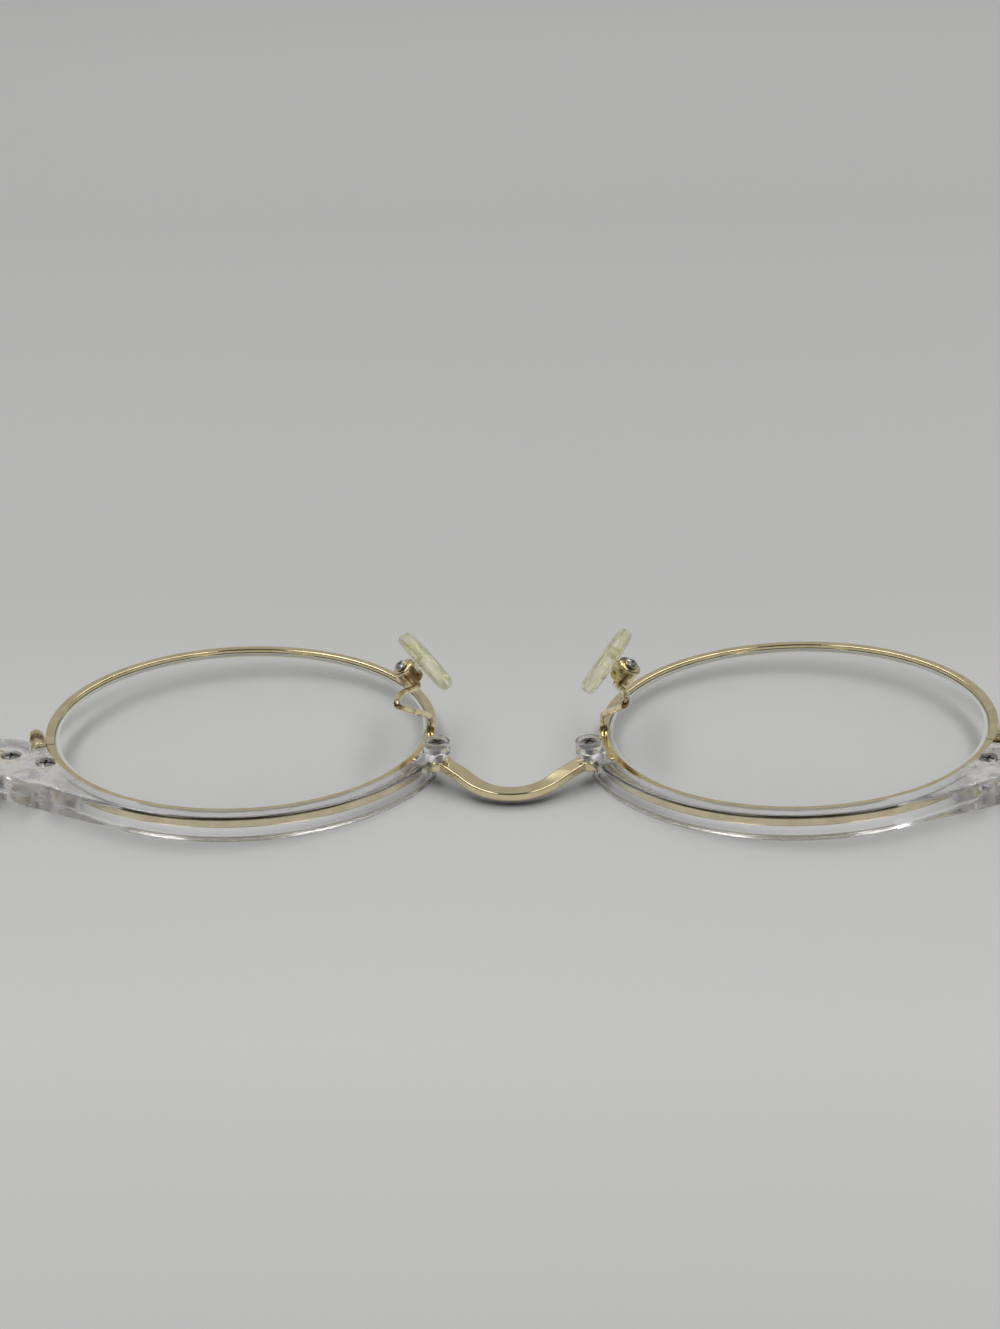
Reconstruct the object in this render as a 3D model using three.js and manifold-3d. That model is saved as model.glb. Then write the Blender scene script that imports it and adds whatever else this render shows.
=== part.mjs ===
// Round combination eyeglasses lying face down: gold rims, clear brows, open temples standing up.
// Millimetres and degrees. X runs across the face, +Y is the wearer's down, +Z is the wearer's back.
// Left and right are the wearer's, so the right side lies at -X.

import * as THREE from "three";
import { mergeVertices } from "three/addons/utils/BufferGeometryUtils.js";
import Module from "manifold-3d";

const wasm = await Module();
wasm.setup();

// Lenses and rims
const LENS_DIAMETER = 47; // over the bevel
const BRIDGE_WIDTH = 22; // between the two bevels
const WRAP_ANGLE = 2.3; // each rim turns back towards its temple
const LENS_CURVE = 118; // radius of the lens front
const LENS_THICKNESS = 1.1;
const BEVEL_HOLD = 0.3; // bevel held inside the rim
const BEVEL_WIDTH = 0.8;
const RIM_WALL = 1.1;
const RIM_DEPTH = 1.7;
const RIM_EDGE = 0.18; // rounding of the rim's corners
const GROOVE_LEVEL = -0.95; // middle of the groove, below the rim's back face
const GROOVE_MOUTH = 1.0;
const RIM_SLIT = 0.15; // cut that lets the rim open for the lens

// Clearances
const FIT = 0.25; // around a piece held in a pocket
const SOLDER = 0.1; // filled with solder
const RUNNING = 0.1; // between turning faces
const HOLE = 0.12; // around a screw

// Closing block at the temple side of each rim
const CLOSING_ANGLE = 70.5; // the slit, from the top of the rim towards the temple
const CLOSING_UPPER = 2.2; // half above the slit
const CLOSING_LOWER = 1.9; // half below the slit
const CLOSING_WIDTH = 1.8;
const CLOSING_TOP = 1.4; // above the rim's back face

// Clear brow
const BROW_WIDTH = 2.05;
const BROW_DEPTH = 3.25;
const BROW_PROUD = 0.45; // above the rim's back face
const BROW_ROUND = 0.42;
const BROW_NOSE_ANGLE = -71.5; // the bar ends here, in front of the bridge's lug
const BROW_STEP = 6; // degrees between the brow's stations
const TONGUE_ANGLE = -74; // the tongue ends here, over the bridge's lug
const TONGUE_FLAT_ANGLE = -69; // and slopes from here
const TONGUE_ROOT_ANGLE = -62; // to here, where it has sunk into the bar
const TONGUE_WIDTH = 2.9;
const TONGUE_DEPTH = 1.2;
const BOSS_RADIUS = 1.6;
const BOSS_RISE = 0.9; // above the tongue

// End piece, the brow's temple end
const END_SLOPE = 22.4; // the top edge leaves the rim's curve as a tangent
const END_ANGLE = 60; // place on the rim that the end piece is set out from
const END_REACH = 14.2; // outwards from that place
const END_DROP = 3.7; // downwards from that place
const END_RISE = 0.4; // above the brow's back face
const END_STATIONS = 9;

// Bridge
const LUG_ANGLE = -70;
const LUG_OUT = 2.6; // screw's distance outside the rim
const LUG_RADIUS = 1.7;
const LUG_TOP = 0.45;
const BRIDGE_HEIGHT = 2.1;
const BRIDGE_DEPTH = 1.2;
const BRIDGE_RISE = 5.8; // the arch above its lugs
const BRIDGE_SET = 1.45; // the arch forward of its lugs
const BRIDGE_STEPS = 22;

// Screws
const SCREW_HEAD = 1.15;
const SCREW_HEAD_HEIGHT = 0.5;
const SCREW_SHANK = 0.5;
const SMALL_HEAD = 0.8;
const SMALL_SHANK = 0.42;
const RECESS_WIDTH = 0.3;
const RECESS_DEPTH = 0.3;
const SCREW_SIDES = 12;
const INNER_SCREW_ANGLE = 55.7;
const INNER_SCREW_OUT = 1.45;
const OUTER_SCREW_OUT = 4.9; // outwards from the end piece's setting-out place
const OUTER_SCREW_UP = 0.7;
const RIM_LUG_HALF = 1.1;
const RIM_LUG_THICKNESS = 0.8;

// Nose pads
const PAD_LENGTH = 13.6;
const PAD_WIDTH = 7.6;
const PAD_THICKNESS = 1.9;
const PAD_IN = 1.2; // from the rim's nose side towards its middle
const PAD_DOWN = 2.14;
const PAD_BACK = 7.92;
const PAD_FRONTAL = 14;
const PAD_SPLAY = 37;
const PAD_BOX_RADIUS = 1.5;
const PAD_BOX_LENGTH = 2.5;
const PAD_BOX_WALL = 0.65;
const PAD_BOX_UP = 0.4; // across the pad from its middle
const PAD_STEM_HEIGHT = 1.3;
const PAD_SLOT_REACH = 1.2; // room for the stem to rock
const PAD_STEM_SINK = 0.9;
const PAD_TURN = { left: 0, right: -10 }; // each pad as it was left on its screw
const PAD_SIDES = 24;
const ARM_RADIUS = 0.36;
const ARM_SIDES = 8;
const ARM_STEPS = 26;
const ARM_FOOT = -0.7; // from the rim's widest place, downwards
const ARM_LOOP_IN = 3.15; // the loop's place, measured from the foot
const ARM_LOOP_UP = 8.9;
const ARM_LOOP_BACK = 7.35;

// Hinge
const BARREL_RADIUS = 1.2;
const BARREL_RISE = 1.8; // axis above the end piece's back face
const KNUCKLES = 5;
const KNUCKLE_WIDTH = 0.9;
const BARREL_SIDES = 16;
const HINGE_PLATE = 1.0;
const HINGE_PLATE_MARGIN = 1.0; // inside the end piece's top edge
const HINGE_PLATE_LEVEL = -0.75; // plate's front face, below the rim's back face
const LEAF_THICKNESS = 0.9;
const LEAF_LENGTH = 9;
const LEAF_HEIGHT = 4.4;

// Temple
const TEMPLE_THICKNESS = 3.2;
const TEMPLE_ROOT = 6.6;
const TEMPLE_WAIST = 4.8;
const TEMPLE_TIP = 6.2;
const TEMPLE_LENGTH = 145;
const TEMPLE_ROUND = 0.9;
const TEMPLE_TILT = 8; // down towards the ear
const TEMPLE_BEND_AT = 98;
const TEMPLE_BEND = 38;
const TEMPLE_BEND_RADIUS = 24;
const TEMPLE_STATIONS = 18;
const BUTT_GAP = 0.3;
const CORE_THICKNESS = 1.0;
const CORE_HEIGHT = 1.7;
const CORE_END = 16; // short of the temple's tip

const RING_SIDES = 48;

// Places that follow from the sizes above
const LENS_RADIUS = LENS_DIAMETER / 2;
const EYE_OFFSET = (LENS_DIAMETER + BRIDGE_WIDTH) / 2;
const RIM_INNER = LENS_RADIUS - BEVEL_HOLD;
const RIM_OUTER = RIM_INNER + RIM_WALL;
const BROW_INNER = RIM_OUTER + FIT;
const BROW_OUTER = BROW_INNER + BROW_WIDTH;
const BROW_FRONT = BROW_PROUD - BROW_DEPTH;
const END_BACK = BROW_PROUD + END_RISE;
const TONGUE_FRONT = LUG_TOP + FIT;
const TONGUE_BACK = TONGUE_FRONT + TONGUE_DEPTH;
const BOSS_BACK = TONGUE_BACK + BOSS_RISE;
const LUG_PITCH = RIM_OUTER + LUG_OUT;
const CLOSING_MIDDLE = RIM_OUTER + SOLDER + CLOSING_WIDTH / 2;

const rad = THREE.MathUtils.degToRad;
const mix = THREE.MathUtils.lerp;
const ease = THREE.MathUtils.smoothstep;
const onRing = (radius, degrees, back = 0) =>
  new THREE.Vector3(radius * Math.sin(rad(degrees)), -radius * Math.cos(rad(degrees)), back);

const endPlace = onRing(RIM_OUTER, END_ANGLE);
const endTip = endPlace.x + END_REACH;
const endBottom = endPlace.y + END_DROP;
const endTopStart = onRing(BROW_OUTER, END_SLOPE);
const endTopAt = (x) => endTopStart.y + (x - endTopStart.x) * Math.tan(rad(END_SLOPE));
const outerScrew = new THREE.Vector3(endPlace.x + OUTER_SCREW_OUT, endPlace.y - OUTER_SCREW_UP, END_BACK);
const innerScrew = onRing(RIM_OUTER + INNER_SCREW_OUT, INNER_SCREW_ANGLE, END_BACK);
const hingeX = endTip - TEMPLE_THICKNESS - BARREL_RADIUS - FIT;
const hingeAxis = new THREE.Vector3(hingeX, (endTopAt(hingeX) + endBottom) / 2, END_BACK + BARREL_RISE);
const templeFace = BARREL_RADIUS + FIT;
const templeDrop = endBottom - TEMPLE_ROOT / 2 - hingeAxis.y;
const knucklePitch = KNUCKLE_WIDTH + RUNNING;
const barrelHalf = (KNUCKLES * knucklePitch - RUNNING) / 2;

// Closed shells and booleans

function facingOut(geometry) {
  const p = geometry.getAttribute("position");
  const index = geometry.getIndex();
  const corner = [0, 1, 2].map(() => new THREE.Vector3());
  let volume = 0;
  for (let i = 0; i < index.count; i += 3) {
    corner.forEach((c, k) => c.fromBufferAttribute(p, index.getX(i + k)));
    volume += corner[0].dot(corner[1].cross(corner[2]));
  }
  if (volume < 0) {
    const flipped = Array.from(index.array).reverse();
    geometry.setIndex(flipped);
  }
  return geometry;
}

function welded(geometry) {
  const bare = new THREE.BufferGeometry();
  bare.setAttribute("position", geometry.getAttribute("position").clone());
  if (geometry.getIndex()) bare.setIndex(geometry.getIndex().clone());
  return facingOut(mergeVertices(bare, 1e-4));
}

function solidOf(geometry) {
  const closed = welded(geometry);
  const vertProperties = new Float32Array(closed.getAttribute("position").array);
  const triVerts = new Uint32Array(closed.getIndex().array);
  return new wasm.Manifold(new wasm.Mesh({ numProp: 3, vertProperties, triVerts }));
}

function geometryOf(solid) {
  const mesh = solid.getMesh();
  const geometry = new THREE.BufferGeometry();
  geometry.setAttribute("position", new THREE.BufferAttribute(mesh.vertProperties, 3));
  geometry.setIndex(new THREE.BufferAttribute(mesh.triVerts, 1));
  return geometry;
}

const join = (first, ...others) =>
  geometryOf(others.reduce((whole, part) => whole.add(solidOf(part)), solidOf(first)));

const cut = (body, ...tools) =>
  geometryOf(tools.reduce((rest, tool) => rest.subtract(solidOf(tool)), solidOf(body)));

// Basic forms, each set out along +Z

function lathe(profile, sides = RING_SIDES) {
  const points = profile.map(([radius, height]) => new THREE.Vector2(radius, height));
  return welded(new THREE.LatheGeometry(points, sides).rotateX(Math.PI / 2));
}

function rod(radius, low, high, sides = SCREW_SIDES) {
  return lathe([[0, low], [radius, low], [radius, high], [0, high]], sides);
}

function block(low, high) {
  const size = new THREE.Vector3().subVectors(high, low);
  const middle = new THREE.Vector3().addVectors(low, high).multiplyScalar(0.5);
  return welded(new THREE.BoxGeometry(size.x, size.y, size.z).translate(middle.x, middle.y, middle.z));
}

function prism(shape, low, high, curveSegments = 8) {
  const settings = { depth: high - low, bevelEnabled: false, curveSegments };
  return welded(new THREE.ExtrudeGeometry(shape, settings).translate(0, 0, low));
}

function outline(corners) {
  return new THREE.Shape(corners.map(([x, y]) => new THREE.Vector2(x, y)));
}

function roundedBar(halfLength, halfHeight, radius) {
  const bar = new THREE.Shape();
  bar.moveTo(-halfLength + radius, -halfHeight);
  bar.absarc(halfLength - radius, -halfHeight + radius, radius, -Math.PI / 2, 0);
  bar.absarc(halfLength - radius, halfHeight - radius, radius, 0, Math.PI / 2);
  bar.absarc(-halfLength + radius, halfHeight - radius, radius, Math.PI / 2, Math.PI);
  bar.absarc(-halfLength + radius, -halfHeight + radius, radius, Math.PI, 1.5 * Math.PI);
  return bar;
}

// Corners of a section with chamfered edges, as pairs across and up
function chamfered(left, right, low, high, edge) {
  return [
    [left + edge, low], [right - edge, low], [right, low + edge], [right, high - edge],
    [right - edge, high], [left + edge, high], [left, high - edge], [left, low + edge],
  ];
}

// Skin over a row of sections that have the same number of points, closed by flat ends
function loft(sections) {
  const count = sections[0].length;
  const last = (sections.length - 1) * count;
  const index = [];
  for (let row = 0; row < last; row += count) {
    for (let i = 0; i < count; i++) {
      const a = row + i;
      const b = row + ((i + 1) % count);
      index.push(a, b, a + count, b, b + count, a + count);
    }
  }
  for (let i = 1; i + 1 < count; i++) {
    index.push(0, i + 1, i, last, last + i, last + i + 1);
  }
  const geometry = new THREE.BufferGeometry().setFromPoints(sections.flat());
  return welded(geometry.setIndex(index));
}

const moved = (geometry, place) => geometry.clone().translate(place.x, place.y, place.z);

// Axes at a place on the rim: x outwards from its middle, y to the back, z along the rim towards its top
function rimAxes(degrees) {
  const outwards = onRing(1, degrees);
  const back = new THREE.Vector3(0, 0, 1);
  return new THREE.Matrix4().makeBasis(outwards, back, new THREE.Vector3().crossVectors(outwards, back));
}

// Screw with its head's top at the origin and its shank along -Z
function screw(head, headHeight, shank, length) {
  const edge = RECESS_WIDTH / 2;
  const body = lathe(
    [[0, -length], [shank, -length], [shank, -headHeight], [head, -headHeight],
      [head, -edge], [head - edge, 0], [0, 0]],
    SCREW_SIDES,
  );
  const reach = head * 0.62;
  const slot = (x, y) => block(new THREE.Vector3(-x, -y, -RECESS_DEPTH), new THREE.Vector3(x, y, edge));
  return cut(body, slot(reach, edge), slot(edge, reach));
}

// Pocket for a screw's head and shank
function screwSeat(head, headHeight, shank, length) {
  const pocket = rod(head + HOLE, -headHeight - HOLE, head, SCREW_SIDES);
  return join(pocket, rod(shank + HOLE, -length - HOLE, 0, SCREW_SIDES));
}

// Rim and lens

function eyewire() {
  const ring = lathe([
    [RIM_INNER, -RIM_EDGE], [RIM_INNER + RIM_EDGE, 0],
    [RIM_OUTER - RIM_EDGE, 0], [RIM_OUTER, -RIM_EDGE],
    [RIM_OUTER, RIM_EDGE - RIM_DEPTH], [RIM_OUTER - RIM_EDGE, -RIM_DEPTH],
    [RIM_INNER + RIM_EDGE, -RIM_DEPTH], [RIM_INNER, RIM_EDGE - RIM_DEPTH],
    [RIM_INNER, GROOVE_LEVEL - GROOVE_MOUTH / 2], [LENS_RADIUS + BEVEL_HOLD, GROOVE_LEVEL],
    [RIM_INNER, GROOVE_LEVEL + GROOVE_MOUTH / 2], [RIM_INNER, -RIM_EDGE],
  ]);
  const half = new THREE.Vector3(RIM_WALL, RIM_DEPTH, RIM_SLIT / 2);
  const slit = block(half.clone().negate(), half).translate(RIM_INNER + RIM_WALL / 2, -RIM_DEPTH / 2, 0);
  return cut(ring, slit.applyMatrix4(rimAxes(CLOSING_ANGLE)));
}

function lens() {
  const body = RIM_INNER - FIT;
  const sag = (curve, radius) => curve - Math.sqrt(curve * curve - radius * radius);
  const surface = (curve, edgeLevel, share) =>
    [body * share, edgeLevel - sag(curve, body) + sag(curve, body * share)];
  const front = GROOVE_LEVEL - LENS_THICKNESS / 2;
  const back = GROOVE_LEVEL + LENS_THICKNESS / 2;
  const shares = [0, 0.4, 0.75, 1];
  return lathe([
    ...shares.map((share) => surface(LENS_CURVE, front, share)),
    [body, GROOVE_LEVEL - BEVEL_WIDTH / 2], [LENS_RADIUS, GROOVE_LEVEL],
    [body, GROOVE_LEVEL + BEVEL_WIDTH / 2],
    ...shares.toReversed().map((share) => surface(LENS_CURVE - LENS_THICKNESS, back, share)),
  ]);
}

// Closing block: two halves over the rim's slit, and the screw that draws them together

function closingProfile(grow) {
  const half = CLOSING_WIDTH / 2 + grow;
  const inner = grow > 0 ? -CLOSING_WIDTH : -half;
  const roundLevel = CLOSING_TOP - CLOSING_WIDTH / 2;
  const profile = new THREE.Shape();
  profile.moveTo(inner, -RIM_DEPTH + RIM_EDGE - grow);
  profile.lineTo(half, -RIM_DEPTH + RIM_EDGE - grow);
  profile.absarc(0, roundLevel, half, 0, Math.PI);
  profile.lineTo(inner, roundLevel);
  return profile;
}

const closingPlace = (geometry) =>
  geometry.translate(CLOSING_MIDDLE, 0, 0).applyMatrix4(rimAxes(CLOSING_ANGLE));

function closingHalf(low, high) {
  const body = prism(closingProfile(0), low, high, 6);
  return closingPlace(cut(body, rod(SMALL_SHANK + HOLE, -2 * CLOSING_LOWER, 2 * CLOSING_UPPER)));
}

const closingUpper = () => closingHalf(RIM_SLIT / 2, CLOSING_UPPER);
const closingLower = () => closingHalf(-CLOSING_LOWER, -RIM_SLIT / 2);

function closingScrew() {
  const length = CLOSING_LOWER + CLOSING_UPPER + SCREW_HEAD_HEIGHT;
  const body = screw(SMALL_HEAD, SCREW_HEAD_HEIGHT, SMALL_SHANK, length).rotateY(Math.PI);
  return closingPlace(body.translate(0, 0, -CLOSING_LOWER - SCREW_HEAD_HEIGHT - SOLDER));
}

// Tab on the rim that takes the inner screw of the end piece

function rimLug(grow = 0) {
  const low = GROOVE_LEVEL - RIM_LUG_THICKNESS / 2;
  const near = RIM_OUTER + SOLDER - grow;
  const far = RIM_OUTER + INNER_SCREW_OUT + RIM_LUG_HALF + grow;
  const half = RIM_LUG_HALF + grow;
  const place = (geometry) => geometry.rotateX(Math.PI / 2).applyMatrix4(rimAxes(INNER_SCREW_ANGLE));
  const tab = roundedBar((far - near) / 2, half, half / 2);
  const flat = prism(tab, -low - RIM_LUG_THICKNESS - grow, -low + grow, 2);
  const body = flat.translate((near + far) / 2, 0, 0);
  if (grow > 0) return place(body);
  const hole = rod(SCREW_SHANK + HOLE, -BROW_DEPTH, BROW_DEPTH);
  return place(cut(body, hole.translate(RIM_OUTER + INNER_SCREW_OUT, 0, 0)));
}

// Front half of the hinge: a plate sunk in the end piece, with knuckles that stand out of its back

function hingePlateOutline(grow) {
  const left = outerScrew.x - SCREW_HEAD - grow;
  const right = hingeAxis.x + BARREL_RADIUS + grow;
  const top = (x) => Math.min(endTopAt(x) + HINGE_PLATE_MARGIN, hingeAxis.y - barrelHalf) - grow;
  const rim = outerScrew.y - SCREW_HEAD - grow;
  const neck = outerScrew.y + SCREW_HEAD + grow;
  const knuckles = hingeAxis.x - BARREL_RADIUS - grow;
  const bottom = hingeAxis.y + barrelHalf + grow;
  return outline([
    [left, rim], [outerScrew.x + SCREW_SHANK, rim], [knuckles, top(knuckles)], [right, top(right)],
    [right, bottom], [knuckles, bottom], [outerScrew.x + SCREW_SHANK, neck], [left, neck],
  ]);
}

const knuckleLow = (number) => -barrelHalf + number * knucklePitch;

function barrel(number) {
  return rod(BARREL_RADIUS, -knuckleLow(number) - KNUCKLE_WIDTH, -knuckleLow(number), BARREL_SIDES)
    .rotateX(Math.PI / 2);
}

function hingeBore() {
  return rod(SMALL_SHANK + RUNNING, -2 * barrelHalf, 2 * barrelHalf, BARREL_SIDES).rotateX(Math.PI / 2);
}

function hingeFront() {
  const plateBack = HINGE_PLATE_LEVEL + HINGE_PLATE;
  const plate = prism(hingePlateOutline(0), HINGE_PLATE_LEVEL, plateBack);
  const knuckles = [];
  for (let number = 0; number < KNUCKLES; number += 2) {
    const rooted = plateBack - hingeAxis.z - HINGE_PLATE / 2;
    const low = new THREE.Vector3(-BARREL_RADIUS, knuckleLow(number), rooted);
    const high = new THREE.Vector3(BARREL_RADIUS, knuckleLow(number) + KNUCKLE_WIDTH, 0);
    knuckles.push(moved(join(barrel(number), block(low, high)), hingeAxis));
  }
  const screwHole = moved(rod(SCREW_SHANK + HOLE, -BROW_DEPTH - END_RISE, 0), outerScrew);
  return cut(join(plate, ...knuckles), moved(hingeBore(), hingeAxis), screwHole);
}

function hingeCavity() {
  const plateBack = HINGE_PLATE_LEVEL + HINGE_PLATE;
  const pocket = prism(hingePlateOutline(FIT), HINGE_PLATE_LEVEL - FIT, plateBack + FIT);
  const reach = new THREE.Vector3(BARREL_RADIUS + FIT, barrelHalf + FIT, BARREL_RADIUS);
  const mouth = block(reach.clone().negate().setZ(plateBack - hingeAxis.z), reach);
  return join(pocket, moved(mouth, hingeAxis));
}

function hingeScrew() {
  const length = 2 * barrelHalf + SCREW_HEAD_HEIGHT;
  const body = screw(SMALL_HEAD, SCREW_HEAD_HEIGHT, SMALL_SHANK, length).rotateX(Math.PI / 2);
  return body.translate(0, -barrelHalf - SCREW_HEAD_HEIGHT - RUNNING, 0);
}

// Clear brow with its end piece, its tongue over the bridge's lug, and every pocket cut in it

function browSection(inner, outer, front, back, edge) {
  const across = new THREE.Vector3().subVectors(outer, inner);
  const width = across.length();
  across.normalize();
  return chamfered(0, width, front, back, edge).map(([side, height]) =>
    inner.clone().addScaledVector(across, side).setZ(height));
}

function browBody() {
  const sections = [];
  for (let degrees = BROW_NOSE_ANGLE; degrees < END_SLOPE - BROW_STEP / 2; degrees += BROW_STEP) {
    const inner = onRing(BROW_INNER, degrees);
    sections.push(browSection(inner, onRing(BROW_OUTER, degrees), BROW_FRONT, BROW_PROUD, BROW_ROUND));
  }
  const clearOfBlock = CLOSING_ANGLE - THREE.MathUtils.radToDeg(CLOSING_UPPER / CLOSING_MIDDLE);
  const innerEdge = new THREE.Path();
  innerEdge.absarc(0, 0, BROW_INNER, rad(END_SLOPE - 90), rad(clearOfBlock - 90));
  innerEdge.lineTo(outerScrew.x, endBottom);
  innerEdge.lineTo(endTip, endBottom);
  const topEdge = new THREE.Path();
  topEdge.moveTo(endTopStart.x, endTopStart.y);
  topEdge.lineTo(endTip, endTopAt(endTip));
  const inner = innerEdge.getSpacedPoints(END_STATIONS);
  topEdge.getSpacedPoints(END_STATIONS).forEach((top, i) => {
    const back = mix(BROW_PROUD, END_BACK, ease(i / END_STATIONS, 0.1, 0.45));
    sections.push(browSection(
      new THREE.Vector3(inner[i].x, inner[i].y, 0), new THREE.Vector3(top.x, top.y, 0),
      BROW_FRONT, back, BROW_ROUND,
    ));
  });
  return loft(sections);
}

function browTongue() {
  const half = TONGUE_WIDTH / 2;
  const section = (degrees, shrink) => {
    const sunk = Math.max((degrees - TONGUE_FLAT_ANGLE) / (TONGUE_ROOT_ANGLE - TONGUE_FLAT_ANGLE), 0);
    return browSection(
      onRing(mix(LUG_PITCH - half, BROW_INNER + BROW_ROUND, sunk) + shrink, degrees),
      onRing(mix(LUG_PITCH + half, BROW_OUTER - BROW_ROUND, sunk) - shrink, degrees),
      mix(TONGUE_FRONT, BROW_PROUD - TONGUE_DEPTH, sunk),
      mix(TONGUE_BACK, BROW_PROUD - BROW_ROUND / 2, sunk),
      BROW_ROUND / 2,
    );
  };
  const middle = (TONGUE_FLAT_ANGLE + TONGUE_ROOT_ANGLE) / 2;
  return loft([
    section(TONGUE_ANGLE, half / 3), section(TONGUE_ANGLE + BROW_STEP / 3, 0),
    section(TONGUE_FLAT_ANGLE, 0), section(middle, 0), section(TONGUE_ROOT_ANGLE, 0),
  ]);
}

const browScrewLength = BROW_DEPTH + END_RISE - BROW_ROUND;
const noseScrewLength = BOSS_BACK - LUG_TOP + BRIDGE_DEPTH - RIM_EDGE;
const nosePlace = onRing(LUG_PITCH, LUG_ANGLE, BOSS_BACK - RECESS_WIDTH / 2);

function brow() {
  const drum = rod(BOSS_RADIUS, -BOSS_RISE - TONGUE_DEPTH, 0, 2 * SCREW_SIDES);
  const boss = moved(drum, onRing(LUG_PITCH, LUG_ANGLE, BOSS_BACK));
  const blockPocket = closingPlace(prism(closingProfile(FIT), -2 * CLOSING_LOWER, CLOSING_UPPER + FIT, 6));
  const seat = screwSeat(SCREW_HEAD, SCREW_HEAD_HEIGHT, SCREW_SHANK, browScrewLength);
  const noseSeat = screwSeat(SCREW_HEAD, SCREW_HEAD_HEIGHT, SCREW_SHANK, noseScrewLength);
  return cut(
    join(browBody(), browTongue(), boss), blockPocket, rimLug(FIT), lugBody(FIT), hingeCavity(),
    moved(seat, innerScrew), moved(seat, outerScrew), moved(noseSeat, nosePlace),
  );
}

// Nose pad, its box, stem and screw, in axes with x away from the nose, y down the pad, z across it

const padAway = new THREE.Vector3(1, -Math.tan(rad(PAD_FRONTAL)), -Math.tan(rad(PAD_SPLAY))).normalize();
const padDown = new THREE.Vector3(Math.tan(rad(PAD_FRONTAL)), 1, 0).normalize();
const padAcross = new THREE.Vector3().crossVectors(padAway, padDown);
const padStandoff = PAD_BOX_RADIUS + FIT + PAD_THICKNESS / 2;
const padMiddle = new THREE.Vector3(PAD_IN - RIM_OUTER, PAD_DOWN, PAD_BACK);
const padBoxPlace = padMiddle.clone()
  .addScaledVector(padAway, padStandoff)
  .addScaledVector(padAcross, PAD_BOX_UP);

function stemBlock(grow) {
  const half = PAD_BOX_LENGTH / 2 - PAD_BOX_WALL - FIT / 2 + grow;
  const halfHeight = PAD_STEM_HEIGHT / 2;
  const sunk = PAD_BOX_RADIUS + FIT + PAD_STEM_SINK + grow;
  const low = new THREE.Vector3(-sunk, -halfHeight - grow, -half);
  const high = new THREE.Vector3(halfHeight - FIT, halfHeight + grow, half);
  return block(low, high);
}

const padPin = () => rod(SMALL_SHANK + HOLE, -PAD_BOX_LENGTH, PAD_BOX_LENGTH);

const padStem = () => cut(stemBlock(0), padPin());

function padBox() {
  const half = PAD_BOX_LENGTH / 2;
  const slotHalf = half - PAD_BOX_WALL;
  const slotLow = new THREE.Vector3(-2 * PAD_BOX_RADIUS, -PAD_SLOT_REACH, -slotHalf);
  const slotHigh = new THREE.Vector3(PAD_STEM_HEIGHT / 2, PAD_SLOT_REACH, slotHalf);
  const body = rod(PAD_BOX_RADIUS, -half, half, BARREL_SIDES);
  return cut(body, block(slotLow, slotHigh), padPin());
}

function padScrew() {
  const length = PAD_BOX_LENGTH + SCREW_HEAD_HEIGHT;
  return screw(SMALL_HEAD, SCREW_HEAD_HEIGHT, SMALL_SHANK, length)
    .translate(0, 0, PAD_BOX_LENGTH / 2 + SCREW_HEAD_HEIGHT + RUNNING);
}

function nosePad() {
  const back = -PAD_BOX_RADIUS - FIT;
  const layers = [[0, 0.88], [0.15, 0.97], [0.45, 1], [0.75, 0.97], [0.93, 0.88], [1, 0.72]];
  const sections = layers.map(([depth, share]) => {
    const ring = [];
    for (let i = 0; i < PAD_SIDES; i++) {
      const turn = (2 * Math.PI * i) / PAD_SIDES;
      const egg = 1 + 0.08 * Math.cos(turn);
      const down = (PAD_LENGTH / 2) * share * Math.cos(turn);
      const across = (PAD_WIDTH / 2) * share * egg * Math.sin(turn);
      ring.push(new THREE.Vector3(back - depth * PAD_THICKNESS, down, across - PAD_BOX_UP));
    }
    return ring;
  });
  return cut(loft(sections), stemBlock(RUNNING));
}

// Pad arm: a wire that rises from the rim's back face, loops, and ends on the pad box's front end
function padArm() {
  const foot = new THREE.Vector3(-RIM_INNER - RIM_WALL / 2, ARM_FOOT, SOLDER);
  const loop = foot.clone().add(new THREE.Vector3(ARM_LOOP_IN, -ARM_LOOP_UP, ARM_LOOP_BACK));
  const towardsLoop = (x, y, z) =>
    new THREE.Vector3(mix(foot.x, loop.x, x), mix(foot.y, loop.y, y), mix(foot.z, loop.z, z));
  const end = padBoxPlace.clone().addScaledVector(padAcross, -PAD_BOX_LENGTH / 2 - 2 * SOLDER - ARM_RADIUS);
  const turn = end.clone().addScaledVector(padDown, -2 * ARM_RADIUS);
  const afterLoop = loop.clone().lerp(turn, 0.3).addScaledVector(padAcross, 2 * ARM_RADIUS);
  const route = new THREE.CatmullRomCurve3([
    foot, towardsLoop(0, 0, 0.13), towardsLoop(0.05, 0.21, 0.38), towardsLoop(0.52, 0.6, 0.68),
    loop, afterLoop, turn, end,
  ], false, "centripetal");
  const section = new THREE.Shape();
  for (let i = 0; i < ARM_SIDES; i++) {
    const angle = (2 * Math.PI * i) / ARM_SIDES;
    section[i ? "lineTo" : "moveTo"](ARM_RADIUS * Math.cos(angle), ARM_RADIUS * Math.sin(angle));
  }
  const settings = { steps: ARM_STEPS, extrudePath: route, bevelEnabled: false };
  return welded(new THREE.ExtrudeGeometry(section, settings));
}

// Bridge: an arched bar between two lugs, set out in the whole front's axes

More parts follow.
